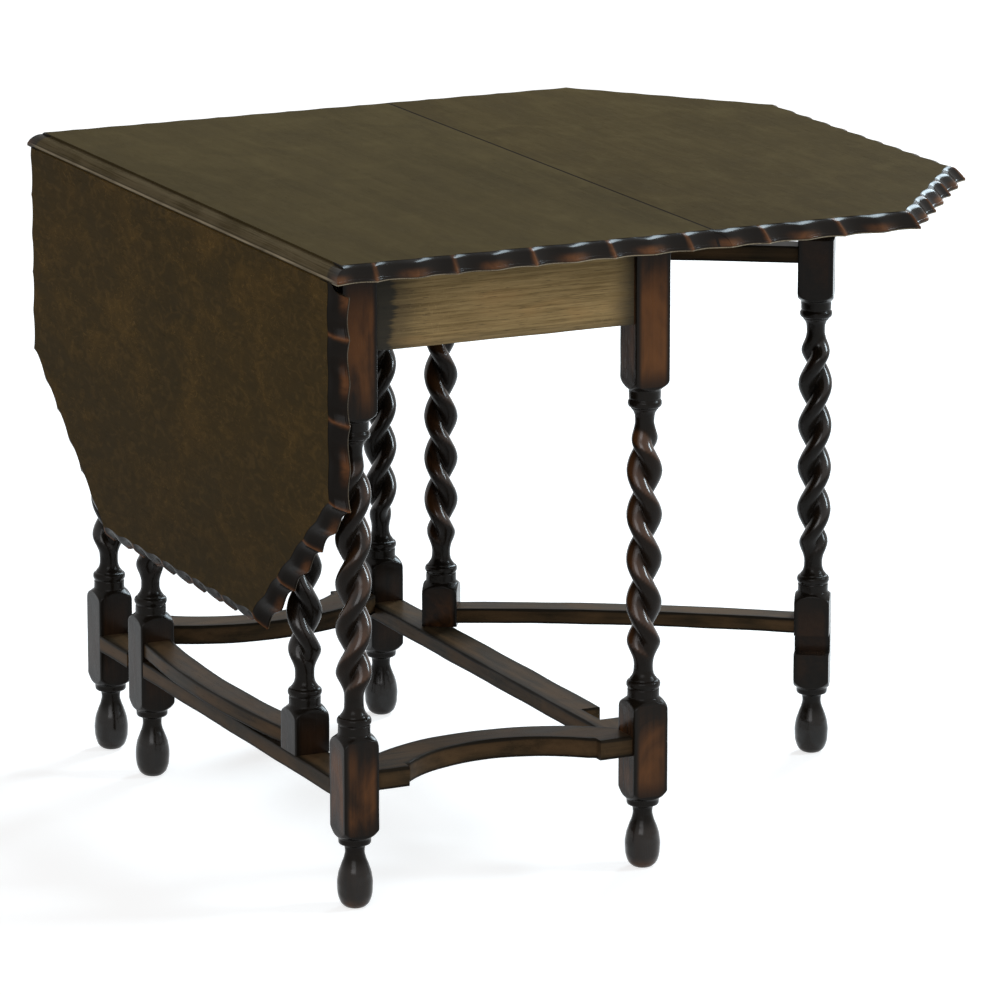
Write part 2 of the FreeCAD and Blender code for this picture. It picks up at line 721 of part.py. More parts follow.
def pivot_post(word):
    """The short post that turns on its pins between the stretcher and the apron."""
    low_end = block_part(LOW_FACE, 1, STRETCHER_TOP + S.seat_gap)
    top_end = block_part(TOP_FACE, -1, APRON_LOW - S.seat_gap)
    post = whole_post(low_end, top_end, -1, TWIST_SHARES["pivot_post_" + word])
    return post.cut(gate_mortises() + pivot_pins(S.pin_fit, S.seat_gap))


def gate_leg(word, low_part, top_part):
    """The leg that swings out, halved where it closes over the stretcher and the apron."""
    leg = whole_post(low_part, top_part, 1, TWIST_SHARES["gate_leg_" + word])
    side = HALF + S.overrun
    low_halving = span((-side, 0), (-side, side),
                       (S.stretcher_low - S.halving_slack, STRETCHER_TOP + S.halving_slack))
    top_halving = span((-side, 0), (-side, side), (APRON_LOW - S.halving_slack, FRAME_HIGH + S.overrun))
    head = span((-side, side), (-side, side), (FRAME_HIGH - S.leg_top_gap, FRAME_HIGH + S.overrun))
    leg.translate(Vector(0, -S.gate_long, 0))
    cuts = [low_halving, top_halving, head]
    for cut in cuts:
        cut.translate(Vector(0, -S.gate_long, 0))
    return leg.cut(cuts + gate_mortises())


def place_gate(shape, side, opened):
    """Put a piece of a gate in its place on one side, opened or closed."""
    placed = shape.copy()
    if opened:
        placed.rotate(Vector(S.pin_out, S.pin_back, 0), UP, S.gate_open)
    if side < 0:
        placed.rotate(Vector(), UP, 180)
    along = S.pivot_along_right if side > 0 else S.pivot_along_left
    placed.translate(Vector(side * S.post_out, side * along, 0))
    return placed


def stop_block(side):
    """The block under a raised leaf that the open gate leg meets."""
    near = HALF + S.stop_gap
    block = span((near, near + S.stop_wide), (-S.gate_long - S.stop_long / 2, -S.gate_long + S.stop_long / 2),
                 (FRAME_HIGH - S.stop_thick, FRAME_HIGH))
    return place_gate(block, side, True)


def stop_screws(side):
    """Two screws that hold a stop block."""
    out = HALF + S.stop_gap + S.stop_wide / 2
    low = FRAME_HIGH - S.stop_thick
    places = [Vector(out, -S.gate_long + way * S.stop_long / 4, low) for way in (-1, 1)]
    return [place_gate(screw(place, UP, S.stop_thick), side, True) for place in places]


def fixing_screws():
    """Screws up through the fixing blocks into the top."""
    inner = S.post_out + HALF - S.long_apron_recess - S.long_apron_thick - S.fixing_wide / 2
    low = FRAME_HIGH - S.fixing_high
    return [screw(Vector(side * inner, end * S.fixing_along, low), UP, S.fixing_high)
            for side in (-1, 1) for end in (-1, 1)]


# Frame pieces
low_end = foot_part()
top_end = block_part(TOP_FACE, -1, FRAME_HIGH)
for leg_name in LEGS:
    keep_shape(leg_name, frame_leg(leg_name, low_end, top_end))
end_apron("apron_near", -1)
end_apron("apron_far", 1)
long_apron("apron_left", -1)
long_apron("apron_right", 1)
long_stretcher("stretcher_left", -1)
long_stretcher("stretcher_right", 1)
keep_shape("stretcher_near", end_stretcher(-1))
keep_shape("stretcher_far", end_stretcher(1))

# Fixing blocks inside the long aprons, with their screws
block_screws = fixing_screws()
for number, (side, end) in enumerate(((-1, -1), (1, -1), (1, 1), (-1, 1)), start=1):
    inner_face = "(post_out + post_wide / 2 - long_apron_recess - long_apron_thick)"
    block_x = inner_face + " - fixing_wide" if side > 0 else "-" + inner_face
    block_y = ("" if end > 0 else "-") + "fixing_along - fixing_long / 2"
    label = "fixing_block_%d" % number
    solid = bound_box(label + "_solid", (block_x, block_y, "table_high - board_thick - fixing_high"),
                      ("fixing_wide", "fixing_long", "fixing_high"))
    bore = doc.addObject("Part::Feature", label + "_bore")
    bore.Shape = Part.makeCompound(block_screws)
    keep_bound(bound_cut(label, solid, bore), label)
keep_shape("screws_fixing_blocks", Part.makeCompound(block_screws))

# Top boards, hinges and stop blocks
flap_line = S.hinge_out - KNUCKLE - S.plate_step - S.frame_flap / 2
leaf_line = S.hinge_out + KNUCKLE + S.plate_step + S.leaf_flap - S.frame_flap / 2
whole_top = carved_top()
frame_screws = {side: hinge_screws(side * flap_line) for side in (-1, 1)}
leaf_screws = {side: hinge_screws(side * leaf_line) for side in (-1, 1)}
holes = knuckle_pockets() + frame_screws[-1] + frame_screws[1] + block_screws
keep_shape("top_fixed", fixed_board(whole_top).cut(holes))
for side, word in ((-1, "left"), (1, "right")):
    turn = hang if side < 0 else Part.Shape.copy
    stops = stop_screws(side)
    leaf = leaf_board(whole_top, side).cut(leaf_screws[side] + stops)
    keep_shape("leaf_" + word, turn(leaf))
    keep_shape("hinge_frame_plates_" + word, hinge_plates(side, False, frame_screws[side]))
    keep_shape("hinge_leaf_plates_" + word, turn(hinge_plates(side, True, leaf_screws[side])))
    keep_shape("hinge_pins_" + word, hinge_pins(side))
    keep_shape("screws_hinge_frame_" + word, Part.makeCompound(frame_screws[side]))
    keep_shape("screws_hinge_leaf_" + word, turn(Part.makeCompound(leaf_screws[side])))
    keep_shape("stop_block_" + word, turn(stop_block(side).cut(stops)))
    keep_shape("screws_stop_" + word, turn(Part.makeCompound(stops)))

# Gates: the right one stands open, the left one closed
for side, word in ((-1, "left"), (1, "right")):
    gate_pieces = {
        "pivot_post": pivot_post(word),
        "gate_leg": gate_leg(word, low_end, top_end),
        "gate_rail_lower": gate_rail(RAIL_LOW, S.rail_thick, S.rail_wide, S.rail_bow),
        "gate_rail_upper": gate_rail(TOP_RAIL_LOW, S.top_rail_thick, S.top_rail_wide, 0),
        "pivot_pins": Part.makeCompound(pivot_pins(0, 0)),
    }
    for name, shape in gate_pieces.items():
        keep_shape(name + "_" + word, place_gate(shape, side, side > 0))

# Every object must be sound before anything is written
doc.recompute()
for item in doc.Objects:
    if "Invalid" in item.State or "Error" in item.State:
        raise RuntimeError("%s failed: %s" % (item.Label, item.State))
for piece in pieces:
    if piece.Shape.isNull() or not piece.Shape.isValid():
        raise RuntimeError("%s has no sound shape" % piece.Label)
os.makedirs("parts", exist_ok=True)
for piece in pieces:
    piece.Shape.exportStep("parts/%s.step" % piece.Label)
    box = piece.Shape.BoundBox
    print("%-26s %2d solids %10.0f mm3  x %.1f %.1f  y %.1f %.1f  z %.1f %.1f" % (
        piece.Label, len(piece.Shape.Solids), piece.Shape.Volume,
        box.XMin, box.XMax, box.YMin, box.YMax, box.ZMin, box.ZMax))
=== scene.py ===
"""Dark oak gateleg table: carved top, twisted posts, bowed stretchers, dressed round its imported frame."""
import logging
import math
from dataclasses import dataclass, replace
from enum import Enum
from typing import Optional, Union

import bmesh
import bpy
import numpy as np
from mathutils import Matrix, Vector


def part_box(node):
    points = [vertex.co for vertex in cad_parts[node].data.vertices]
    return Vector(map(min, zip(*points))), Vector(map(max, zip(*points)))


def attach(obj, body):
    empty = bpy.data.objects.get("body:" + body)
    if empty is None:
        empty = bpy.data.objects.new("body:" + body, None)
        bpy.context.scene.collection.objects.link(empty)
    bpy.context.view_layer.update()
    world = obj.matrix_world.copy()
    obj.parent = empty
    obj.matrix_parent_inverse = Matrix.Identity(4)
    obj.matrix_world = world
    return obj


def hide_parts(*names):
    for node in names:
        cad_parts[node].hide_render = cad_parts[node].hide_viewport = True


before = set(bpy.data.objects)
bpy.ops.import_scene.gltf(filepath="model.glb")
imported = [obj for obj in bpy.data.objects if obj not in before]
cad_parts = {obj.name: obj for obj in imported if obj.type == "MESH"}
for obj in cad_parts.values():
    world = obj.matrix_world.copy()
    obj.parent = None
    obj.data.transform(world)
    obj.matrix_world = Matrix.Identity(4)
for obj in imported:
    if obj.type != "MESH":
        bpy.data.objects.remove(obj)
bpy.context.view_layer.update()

LOG = logging.getLogger("gateleg_table")
Colour = tuple[float, float, float]
Scale = tuple[float, float, float, float]
MM = 0.001
HAIR = 1e-5
TOUCHING = 2e-6
SLIVER = 1e-6
OPEN_TURN = math.radians(57.9)
HINGE_OUT = 222.3 * MM
TABLE_HIGH = 740.0 * MM
BOARD_THICK = 18.0 * MM
BOARD_LOW = TABLE_HIGH - BOARD_THICK
PIN_LEVEL = 723.0 * MM
LET_IN = 1.5 * MM
BLOCK_ARRIS = 0.8 * MM
QUARTER = math.pi / 2


def middle_of(node: str) -> Vector:
    """Middle of a CAD node's box."""
    low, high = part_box(node)
    return (low + high) / 2


MIDDLE = middle_of("top_fixed")


class Axis(Enum):
    """Which way the grain of a piece runs, as the turn that brings it onto X."""

    ACROSS = (0.0, 0.0, 0.0)
    ALONG = (0.0, 0.0, -QUARTER)
    UP = (0.0, QUARTER, 0.0)


class Mark(Enum):
    """Names of the point attributes that tell the finishes where they are on a piece."""

    OPEN = "open_share"
    END = "end_share"
    CARVE = "carve_share"
    CREASE = "crease_share"
    GLOSS = "gloss_share"
    # Painted highlight line along the bottom bead and the rule joint, partly a worn arris
    RIM = "rim_share"


Marks = dict[Mark, np.ndarray]


# Shapes from whole arrays
def eased(share: np.ndarray) -> np.ndarray:
    """Smooth step of a share held to 0 and 1: three squares less two cubes."""
    held = np.clip(share, 0.0, 1.0)
    return held * held * (3.0 - 2.0 * held)


def flowing(points: tuple[tuple[float, float], ...], at: np.ndarray) -> np.ndarray:
    """Smooth curve through points that never overshoots them.

    Each stretch is a cubic whose end slopes are the harmonic mean of the two neighbouring slopes,
    or level where those differ in sign.

    Args:
        points: Places and values, in rising order of place.
        at: Places to work out.

    Returns:
        The curve's values there.
    """
    place, value = np.array(points, float).T
    step = np.diff(place)
    slope = np.diff(value) / step
    inner = np.where(slope[1:] * slope[:-1] > 0,
                     2 * slope[1:] * slope[:-1] / (slope[1:] + slope[:-1] + 1e-30), 0.0)
    ends = np.concatenate(([slope[0]], inner, [slope[-1]]))
    cell = np.clip(np.searchsorted(place, at, side="right") - 1, 0, len(step) - 1)
    t = np.clip((at - place[cell]) / step[cell], 0.0, 1.0)
    wide = step[cell]
    return ((1 + 2 * t) * (1 - t) ** 2 * value[cell] + t * (1 - t) ** 2 * wide * ends[cell]
            + t * t * (3 - 2 * t) * value[cell + 1] + t * t * (t - 1) * wide * ends[cell + 1])


def ripple(along: np.ndarray, seed: float, size: float, length: float) -> np.ndarray:
    """Slight unevenness of hand work: three sines of unlike lengths, added.

    Args:
        along: Places along the piece.
        seed: A number of the piece's own, which shifts the sines.
        size: Greatest height of the sum.
        length: Length of the longest sine.

    Returns:
        Height at each place.
    """
    turn = 2 * math.pi * along / length
    waves = np.sin(turn + seed) + np.sin(2.3 * turn + 2.1 * seed) + np.sin(4.1 * turn + 3.7 * seed)
    return size / 3 * waves


def ladder(low: float, high: float, step: float) -> np.ndarray:
    """Even levels from low to high, both kept, about a step apart."""
    return np.linspace(low, high, max(2, round((high - low) / step) + 1))


@dataclass(frozen=True)
class Place:
    """Where a piece drawn about its own middle stands, and its turn about the upright axis."""

    x: float
    y: float
    turn: float = 0.0

    def carry(self, points: np.ndarray) -> np.ndarray:
        """Turn points about the upright axis, then move them here.

        Args:
            points: Points about the piece's own middle.

        Returns:
            The points where the piece stands.
        """
        cos, sin = math.cos(self.turn), math.sin(self.turn)
        spin = np.array([[cos, sin, 0.0], [-sin, cos, 0.0], [0.0, 0.0, 1.0]])
        return points @ spin + np.array([self.x, self.y, 0.0])


def put(name: str, data: bpy.types.ID) -> bpy.types.Object:
    """A new object in the scene for a mesh, lamp or camera."""
    made = bpy.data.objects.new(name, data)
    bpy.context.scene.collection.objects.link(made)
    return made


def piece_from_rings(name: str, rings: np.ndarray, marks: Marks, sharp: float) -> bpy.types.Object:
    """Closed solid through a row of closed rings: squares between rings, one flat face over each end.

    Args:
        name: Name of the piece.
        rings: Points, by ring, by place on the ring, by axis.
        marks: Point attributes with a value for each ring and place.
        sharp: Edges that turn by more than this many degrees stay sharp.

    Returns:
        The new object.
    """
    rows, around = rings.shape[:2]
    index = np.arange(rows * around).reshape(rows, around)
    beside = np.roll(index, -1, axis=1)
    quads = np.stack([index[:-1], beside[:-1], beside[1:], index[1:]], axis=-1).reshape(-1, 4)
    loops = np.concatenate([quads.ravel(), index[0][::-1], index[-1]])
    totals = np.concatenate([np.full(len(quads), 4), [around, around]])
    starts = np.concatenate([[0], np.cumsum(totals)[:-1]])
    mesh = bpy.data.meshes.new(name + "_oak")
    mesh.vertices.add(rows * around)
    mesh.vertices.foreach_set("co", rings.astype(np.float32).ravel())
    mesh.loops.add(len(loops))
    mesh.loops.foreach_set("vertex_index", loops.astype(np.int32))
    mesh.polygons.add(len(totals))
    mesh.polygons.foreach_set("loop_start", starts.astype(np.int32))
    mesh.polygons.foreach_set("use_smooth", np.ones(len(totals), bool))
    mesh.update(calc_edges=True)
    for mark, values in marks.items():
        layer = mesh.attributes.new(mark.value, "FLOAT", "POINT")
        layer.data.foreach_set("value", values.astype(np.float32).ravel())
    shape = bmesh.new()
    shape.from_mesh(mesh)
    bmesh.ops.remove_doubles(shape, verts=shape.verts, dist=TOUCHING)
    bmesh.ops.dissolve_degenerate(shape, edges=shape.edges, dist=SLIVER)
    if shape.calc_volume(signed=True) < 0:
        bmesh.ops.reverse_faces(shape, faces=shape.faces)
    shape.to_mesh(mesh)
    shape.free()
    mesh.set_sharp_from_angle(angle=math.radians(sharp))
    corners = np.empty(len(mesh.polygons), np.int32)
    mesh.polygons.foreach_get("loop_total", corners)
    mesh.polygons.foreach_set("use_smooth", corners <= 4)
    return put(name + "_oak", mesh)


def hollow_out(piece: bpy.types.Object, cutters: list[bpy.types.Object]) -> None:
    """Cut solids away from a piece and drop them.

    Args:
        piece: The piece.
        cutters: Closed solids that stand clear of each other.
    """
    shape = bmesh.new()
    for cutter in cutters:
        shape.from_mesh(cutter.data)
        bpy.data.meshes.remove(cutter.data)
    joined = bpy.data.meshes.new("cutters")
    shape.to_mesh(joined)
    shape.free()
    step = piece.modifiers.new("hollow", "BOOLEAN")
    step.solver = "EXACT"
    step.object = put("cutters", joined)
    graph = bpy.context.evaluated_depsgraph_get()
    cut = bpy.data.meshes.new_from_object(piece.evaluated_get(graph))
    cut.name = piece.data.name
    piece.modifiers.clear()
    piece.data = cut
    bpy.data.meshes.remove(joined)


# Shader maths as plain arithmetic
Number = Union["Value", float]


class Value:
    """A number socket in a shader that takes Python's arithmetic."""

    def __init__(self, tree: "ShaderTree", socket: bpy.types.NodeSocket) -> None:
        """Keep the tree and the socket."""
        self.tree = tree
        self.socket = socket

    def __add__(self, other: Number) -> "Value":
        """Sum."""
        return self.tree.maths("ADD", self, other)

    __radd__ = __add__

    def __sub__(self, other: Number) -> "Value":
        """Difference."""
        return self.tree.maths("SUBTRACT", self, other)

    def __rsub__(self, other: Number) -> "Value":
        """Difference from a number."""
        return self.tree.maths("SUBTRACT", other, self)

    def __mul__(self, other: Number) -> "Value":
        """Product."""
        return self.tree.maths("MULTIPLY", self, other)

    __rmul__ = __mul__

    def __abs__(self) -> "Value":
        """Size without its sign."""
        return self.tree.maths("ABSOLUTE", self, 0.0)

    def step(self, low: float, high: float) -> "Value":
        """Smooth rise from 0 at low to 1 at high, or a fall where low is the greater."""
        node = self.tree.node("ShaderNodeMapRange", {"interpolation_type": "SMOOTHSTEP"},
                              {"Value": self, "From Min": low, "From Max": high})
        return Value(self.tree, node.outputs["Result"])


class ShaderTree:
    """A material or world under construction."""

    def __init__(self, owner: Union[bpy.types.Material, bpy.types.World]) -> None:
        """Start with the owner's nodes cleared away.

        Args:
            owner: The material or world.
        """
        owner.use_nodes = True
        self.owner = owner
        self.nodes = owner.node_tree.nodes
        self.links = owner.node_tree.links
        self.nodes.clear()

    def node(self, kind: str, settings: dict, inputs: dict) -> bpy.types.Node:
        """Any node, with its settings first and then the values or links of its sockets.

        Args:
            kind: Blender's name of the node's type.
            settings: Properties to set.
            inputs: Socket names or numbers, with a value, a Value or a socket to link.

        Returns:
            The new node.
        """
        made = self.nodes.new(kind)
        for name, value in settings.items():
            setattr(made, name, value)
        for name, value in inputs.items():
            if isinstance(value, Value):
                value = value.socket
            if isinstance(value, bpy.types.NodeSocket):
                self.links.new(value, made.inputs[name])
            else:
                made.inputs[name].default_value = value
        return made

    def maths(self, operation: str, first: Number, second: Number) -> Value:
        """One Math node."""
        node = self.node("ShaderNodeMath", {"operation": operation}, {0: first, 1: second})
        return Value(self, node.outputs[0])

    def mark(self, mark: Mark) -> Value:
        """A point attribute of the piece."""
        node = self.node("ShaderNodeAttribute", {"attribute_name": mark.value}, {})
        return Value(self, node.outputs["Fac"])

    def place(self) -> bpy.types.NodeSocket:
        """The Object coordinates."""
        return self.node("ShaderNodeTexCoord", {}, {}).outputs["Object"]

    def place_on(self, axis: int) -> Value:
        """One of the Object coordinates."""
        return Value(self, self.node("ShaderNodeSeparateXYZ", {}, {0: self.place()}).outputs[axis])

    def moved(self, shift: Colour, turn: Colour) -> bpy.types.NodeSocket:
        """The Object coordinates turned and moved."""
        node = self.node("ShaderNodeMapping", {},
                         {"Vector": self.place(), "Location": shift, "Rotation": turn})
        return node.outputs["Vector"]

    def layered(self, colour: object, *layers: tuple[Number, object]) -> bpy.types.NodeSocket:
        """Colours laid over a first one.

        Args:
            colour: The first colour, or the socket that gives it.
            layers: Shares, each with the colour that it lays on.

        Returns:
            The socket of the last mix.
        """
        for share, over in layers:
            pair = [(*mixed, 1.0) if isinstance(mixed, tuple) else mixed for mixed in (colour, over)]
            node = self.node("ShaderNodeMix", {"data_type": "RGBA"}, {0: share, 6: pair[0], 7: pair[1]})
            colour = node.outputs[2]
        return colour

    def noise(self, point: bpy.types.NodeSocket, scale: Scale) -> Value:
        """Cloudy noise from 0 to 1.

        Args:
            point: Where to read it, with X along the grain.
            scale: Its scale along the grain and across it, its detail and its distortion.

        Returns:
            The noise.
        """
        along, across, detail, warp = scale
        stretched = self.node("ShaderNodeVectorMath", {"operation": "MULTIPLY"},
                              {0: point, 1: (along, across, across)})
        node = self.node("ShaderNodeTexNoise", {}, {"Vector": stretched.outputs["Vector"], "Scale": 1.0,
                                                    "Detail": detail, "Distortion": warp})
        return Value(self, node.outputs["Fac"])

    def principled(self, inputs: dict, height: Value, strength: float, deep: float) -> bpy.types.Material:
        """Close the material with a bumped principled shader.

        Args:
            inputs: The shader's sockets.
            height: What the bump follows.
            strength: The bump's strength.
            deep: The bump's distance.

        Returns:
            The material.
        """
        bump = self.node("ShaderNodeBump", {}, {"Strength": strength, "Distance": deep, "Height": height})
        shader = self.node("ShaderNodeBsdfPrincipled", {}, {**inputs, "Normal": bump.outputs["Normal"]})
        return self.closed(shader, "Material")

    def closed(self, shader: bpy.types.Node, kind: str) -> Union[bpy.types.Material, bpy.types.World]:
        """Send a shader to the output, and give back the material or world."""
        self.node("ShaderNodeOutput" + kind, {}, {"Surface": shader.outputs[0]})
        return self.owner


@dataclass
class Grain:
    """The patterns of one piece's wood, each from 0 to 1, and the point that they are read at."""

    point: bpy.types.NodeSocket
    streak: Value
    fine: Value
    patch: Value
    pore: Value
    fleck: Value


@dataclass
class Coat:
    """What a finish gives its shader: colour, roughness, height and gloss."""

    colour: bpy.types.NodeSocket
    rough: Value
    height: Value
    gloss: Number = 0.0


@dataclass(frozen=True)
class OakFinish:
    """Stained oak: long streaks, dark pores, ray flecks, rubbed faces and dirt at the arrises."""

    slot: str
    deep: Colour
    pale: Colour
    rubbed: Colour
    dirt: Colour
    rub: float = 0.5
    grime: float = 0.7
    fleck: float = 0.0
    pores: float = 0.5
    roughness: float = 0.42
    coat_roughness: float = 0.17
    specular: float = 0.35
    bump: float = 0.25
    bump_deep: float = 0.4 * MM
    coat: float = 0.0
    streaks: Scale = (2.5, 1 / (9.0 * MM), 5.0, 0.3)
    fines: Scale = (14.0, 900.0, 3.0, 0.0)
    clouds: Scale = (3.0, 5.0, 3.0, 0.6)
    patches: Scale = (9.0, 22.0, 4.0, 0.8)
    pits: Scale = (45.0, 1100.0, 2.0, 0.0)
    pit_edge: tuple[float, float] = (0.60, 0.74)
    flecks: Scale = (230.0, 130.0, 3.0, 2.6)
    drifts: Scale = (7.0, 16.0, 2.0, 0.5)

    def material(self, name: str, axis: Axis, turn: float, seed: float) -> bpy.types.Material:
        """This finish on one piece.

        The patterns are noises stretched along the grain. Ray flecks are short wavy marks across
        it, in drifts.

        Args:
            name: Name of the piece.
            axis: Which way the grain runs.
            turn: The piece's turn about the upright axis.
            seed: A number of the piece's own, which moves the pattern.

        Returns:
            The material.
        """
        tree = ShaderTree(bpy.data.materials.new(name + "_oak"))
        level, tilt, swing = axis.value
        point = tree.moved((seed * 1.7, seed * 2.9, seed * 4.3), (level, tilt, swing - turn))
        streak, fine, patch, pit, mark, drift = (tree.noise(point, scale) for scale in (
            self.streaks, self.fines, self.patches, self.pits, self.flecks, self.drifts))
        fleck = mark.step(0.58, 0.70) * drift.step(0.42, 0.66)
        grain = Grain(point, streak, fine, patch, pit.step(*self.pit_edge), fleck)
        coat = self.coated(tree, grain)
        return tree.principled({
            "Base Color": coat.colour, "Roughness": coat.rough, "Specular IOR Level": self.specular,
            "Coat Weight": coat.gloss, "Coat Roughness": self.coat_roughness,
        }, coat.height, self.bump, self.bump_deep)

    def coated(self, tree: ShaderTree, grain: Grain) -> Coat:
        """Streaks from deep to pale, rubbed where hands reach, dark in the pores and at the arrises.

        Args:
            tree: The material's tree.
            grain: The piece's patterns.

        Returns:
            The coat.
        """
        streak, fine, patch, pore, fleck = grain.streak, grain.fine, grain.patch, grain.pore, grain.fleck
        # On the posts the open share also carries painted light on the strands' upper sides, so there the
        # rubbed colour is partly painted light
        rubbed = tree.mark(Mark.OPEN) * (patch * 0.9 + streak * 0.25).step(0.38, 0.74) * self.rub
        cloud = tree.noise(grain.point, self.clouds)
        mixed = (streak * 0.6 + fine * 0.25 + cloud * 0.35 - 0.1).step(0.25, 0.85)
        colour = tree.layered(
            self.deep, (mixed, self.pale), (rubbed, self.rubbed), (fleck * self.fleck, self.rubbed),
            (pore * self.pores, self.dirt), (self.soiled(tree, patch, 0.55), self.dirt))
        height = fine * 0.35 + streak * 0.5 - pore * 0.9 + patch * 0.6 + fleck * 0.3
        rough = self.roughness + (patch - 0.5) * 0.22 + pore * 0.15 + fine * 0.06
        gloss = tree.mark(Mark.GLOSS) * (0.4 + patch) * self.coat if self.coat else 0.0
        return Coat(colour, rough, height, gloss)

    def soiled(self, tree: ShaderTree, patch: Value, least: float) -> Value:
        """How dirty a place is: the more hidden from hands, the more, in patches; on the posts, where the
        open share carries painted light, this darkening is partly painted shade.
        """
        return ((1.0 - tree.mark(Mark.OPEN)) * (patch * 0.6 + least) * self.grime).step(0.0, 1.0)


@dataclass(frozen=True)
class BoardFinish(OakFinish):
    """Waxed oak of the top, whose carved edge is darker, glossier and rubbed red along its crests."""

    edge_deep: Colour = (0.0095, 0.007, 0.0052)
    edge_worn: Colour = (0.175, 0.068, 0.025)
    # Pale colour of the rim mark: a painted highlight along the bottom bead and the rule joint, partly a worn
    # arris
    rim_highlight_and_wear: Colour = (0.50, 0.40, 0.26)
    edge_coat: float = 0.28
    edge_roughness: float = 0.30
    mottle: float = 0.2
    seam_half: float = 2.0 * MM
    # Painted shade: the hanging leaf darker towards its lower, outer part
    outer_painted_shade: float = 0.0
    outer_fall: tuple[float, float] = (0.58, 0.30)
    ray: float = 0.15
    streaks: Scale = (1.8, 1 / (14.0 * MM), 5.0, 0.35)
    fines: Scale = (12.0, 800.0, 3.0, 0.0)
    clouds: Scale = (2.2, 4.0, 3.0, 0.7)
    patches: Scale = (10.0, 16.0, 4.0, 0.8)
    pits: Scale = (40.0, 1000.0, 2.0, 0.0)
    spots: Scale = (42.0, 75.0, 5.0, 1.2)
    curls: Scale = (48.0, 90.0, 3.0, 0.9)

    def coated(self, tree: ShaderTree, grain: Grain) -> Coat:
        """Mottled boards, with the marks of the carved edge and the dirt of the joints laid over, a painted
        highlight along the edge's rim and the rule joint, and painted shade low on the hanging leaf.

        Args:
            tree: The material's tree.
            grain: The piece's patterns.

        Returns:
            The coat.
        """
        streak, fine, patch, pore, fleck = grain.streak, grain.fine, grain.patch, grain.pore, grain.fleck
        cloud, spots = tree.noise(grain.point, self.clouds), tree.noise(grain.point, self.spots)
        mixed = (streak * 0.28 + fine * 0.2 + cloud * 0.35 + patch * 0.37 - 0.1).step(0.05, 0.95)
        # Painted shade, laid on in the dirt colour: darker low on the hanging leaf
        outer = tree.place_on(2).step(*self.outer_fall) * (patch + 0.5) * self.outer_painted_shade
        carved = tree.mark(Mark.CARVE).step(0.0, 0.2)
        crest = (tree.mark(Mark.CREASE) * (patch * 0.7 + spots * 0.9)).step(0.02, 0.75)
        edge = tree.layered(self.edge_deep, (crest, self.edge_worn))
        # Rim: a painted highlight line, partly a worn arris, and the rule joint's painted lit band
        rim_highlight_and_wear_mask = tree.mark(Mark.RIM) * (patch * 0.7 + fine * 0.7).step(0.35, 0.85)
        colour = tree.layered(
            self.deep, (mixed, self.pale), (patch.step(0.50, 0.80) * self.rub, self.rubbed),
            (spots.step(0.46, 0.70) * self.mottle, self.rubbed), (fleck * self.fleck, self.rubbed),
            (self.rays(tree, grain) * self.ray, self.rubbed), (pore * self.pores, self.dirt),
            (outer, self.dirt), (carved, edge), (self.seam(tree), self.edge_deep),
            (rim_highlight_and_wear_mask * 0.8, self.rim_highlight_and_wear))
        height = fine * 0.35 + streak * 0.4 - pore * 0.8 + patch * 0.5 + fleck * 0.3
        flat_rough = self.roughness + (patch - 0.5) * 0.10 + pore * 0.1
        edge_rough = self.edge_roughness + (patch - 0.5) * 0.2
        rough = flat_rough * (1.0 - carved) + edge_rough * carved
        return Coat(colour, rough, height, tree.mark(Mark.GLOSS) * (0.55 + patch * 0.7) * self.edge_coat)

    def rays(self, tree: ShaderTree, grain: Grain) -> Value:
        """Thin curly ray lines: where a cloudy noise crosses its middle, broken up by patches."""
        cloud = tree.noise(grain.point, self.curls)
        return abs(cloud - 0.5).step(0.014, 0.002) * (grain.patch * 0.8 + cloud * 0.5).step(0.52, 0.78)

    def seam(self, tree: ShaderTree) -> Value:
        """Dark line of dirt at the joints, strong where the raised leaf meets the fixed board.

        Args:
            tree: The material's tree.

        Returns:
            The line's share at each place.
        """
        out = tree.place_on(0) - MIDDLE.x
        line = abs(abs(out) - HINGE_OUT).step(self.seam_half, self.seam_half / 2)
        return line * (out.step(-0.1, 0.1) * 0.85 + 0.12)


@dataclass(frozen=True)
class ApronFinish(OakFinish):
    """Worn golden oak whose ends are still dark with old stain."""

    end_reach: float = 0.07
    bump_deep: float = 0.5 * MM
    streaks: Scale = (8.0, 330.0, 5.0, 0.5)
    fines: Scale = (40.0, 1300.0, 3.0, 0.0)
    patches: Scale = (8.0, 26.0, 4.0, 0.8)
    pits: Scale = (60.0, 1200.0, 2.0, 0.0)
    pit_edge: tuple[float, float] = (0.58, 0.72)

    def coated(self, tree: ShaderTree, grain: Grain) -> Coat:
        """Fine streaks, with the stain at the ends fading out in an uneven line.

        Args:
            tree: The material's tree.
            grain: The piece's patterns.

        Returns:
            The coat.
        """
        streak, fine, patch, pore = grain.streak, grain.fine, grain.patch, grain.pore
        reach = self.end_reach
        away = tree.mark(Mark.END) + (patch - 0.5) * 0.10 + (streak - 0.5) * 0.08
        smoky = away.step(reach * 3, reach) + away.step(1 - reach * 1.6, 1.0) * 1.5
        colour = tree.layered(
            self.deep, ((streak * 0.55 + fine * 0.3 + patch * 0.3 - 0.08).step(0.25, 0.80), self.pale),
            (patch.step(0.48, 0.75) * self.rub, self.rubbed), (grain.fleck * self.fleck, self.pale),
            (pore * self.pores, self.dirt), (smoky * 0.55, self.dirt),
            (away.step(reach * 1.2, reach * 0.8) * 0.9, self.dirt),
            (self.soiled(tree, patch, 0.5), self.dirt))
        height = fine * 0.5 + streak * 0.6 - pore * 0.9 + patch * 0.4
        return Coat(colour, self.roughness + (patch - 0.5) * 0.2 + pore * 0.15, height)


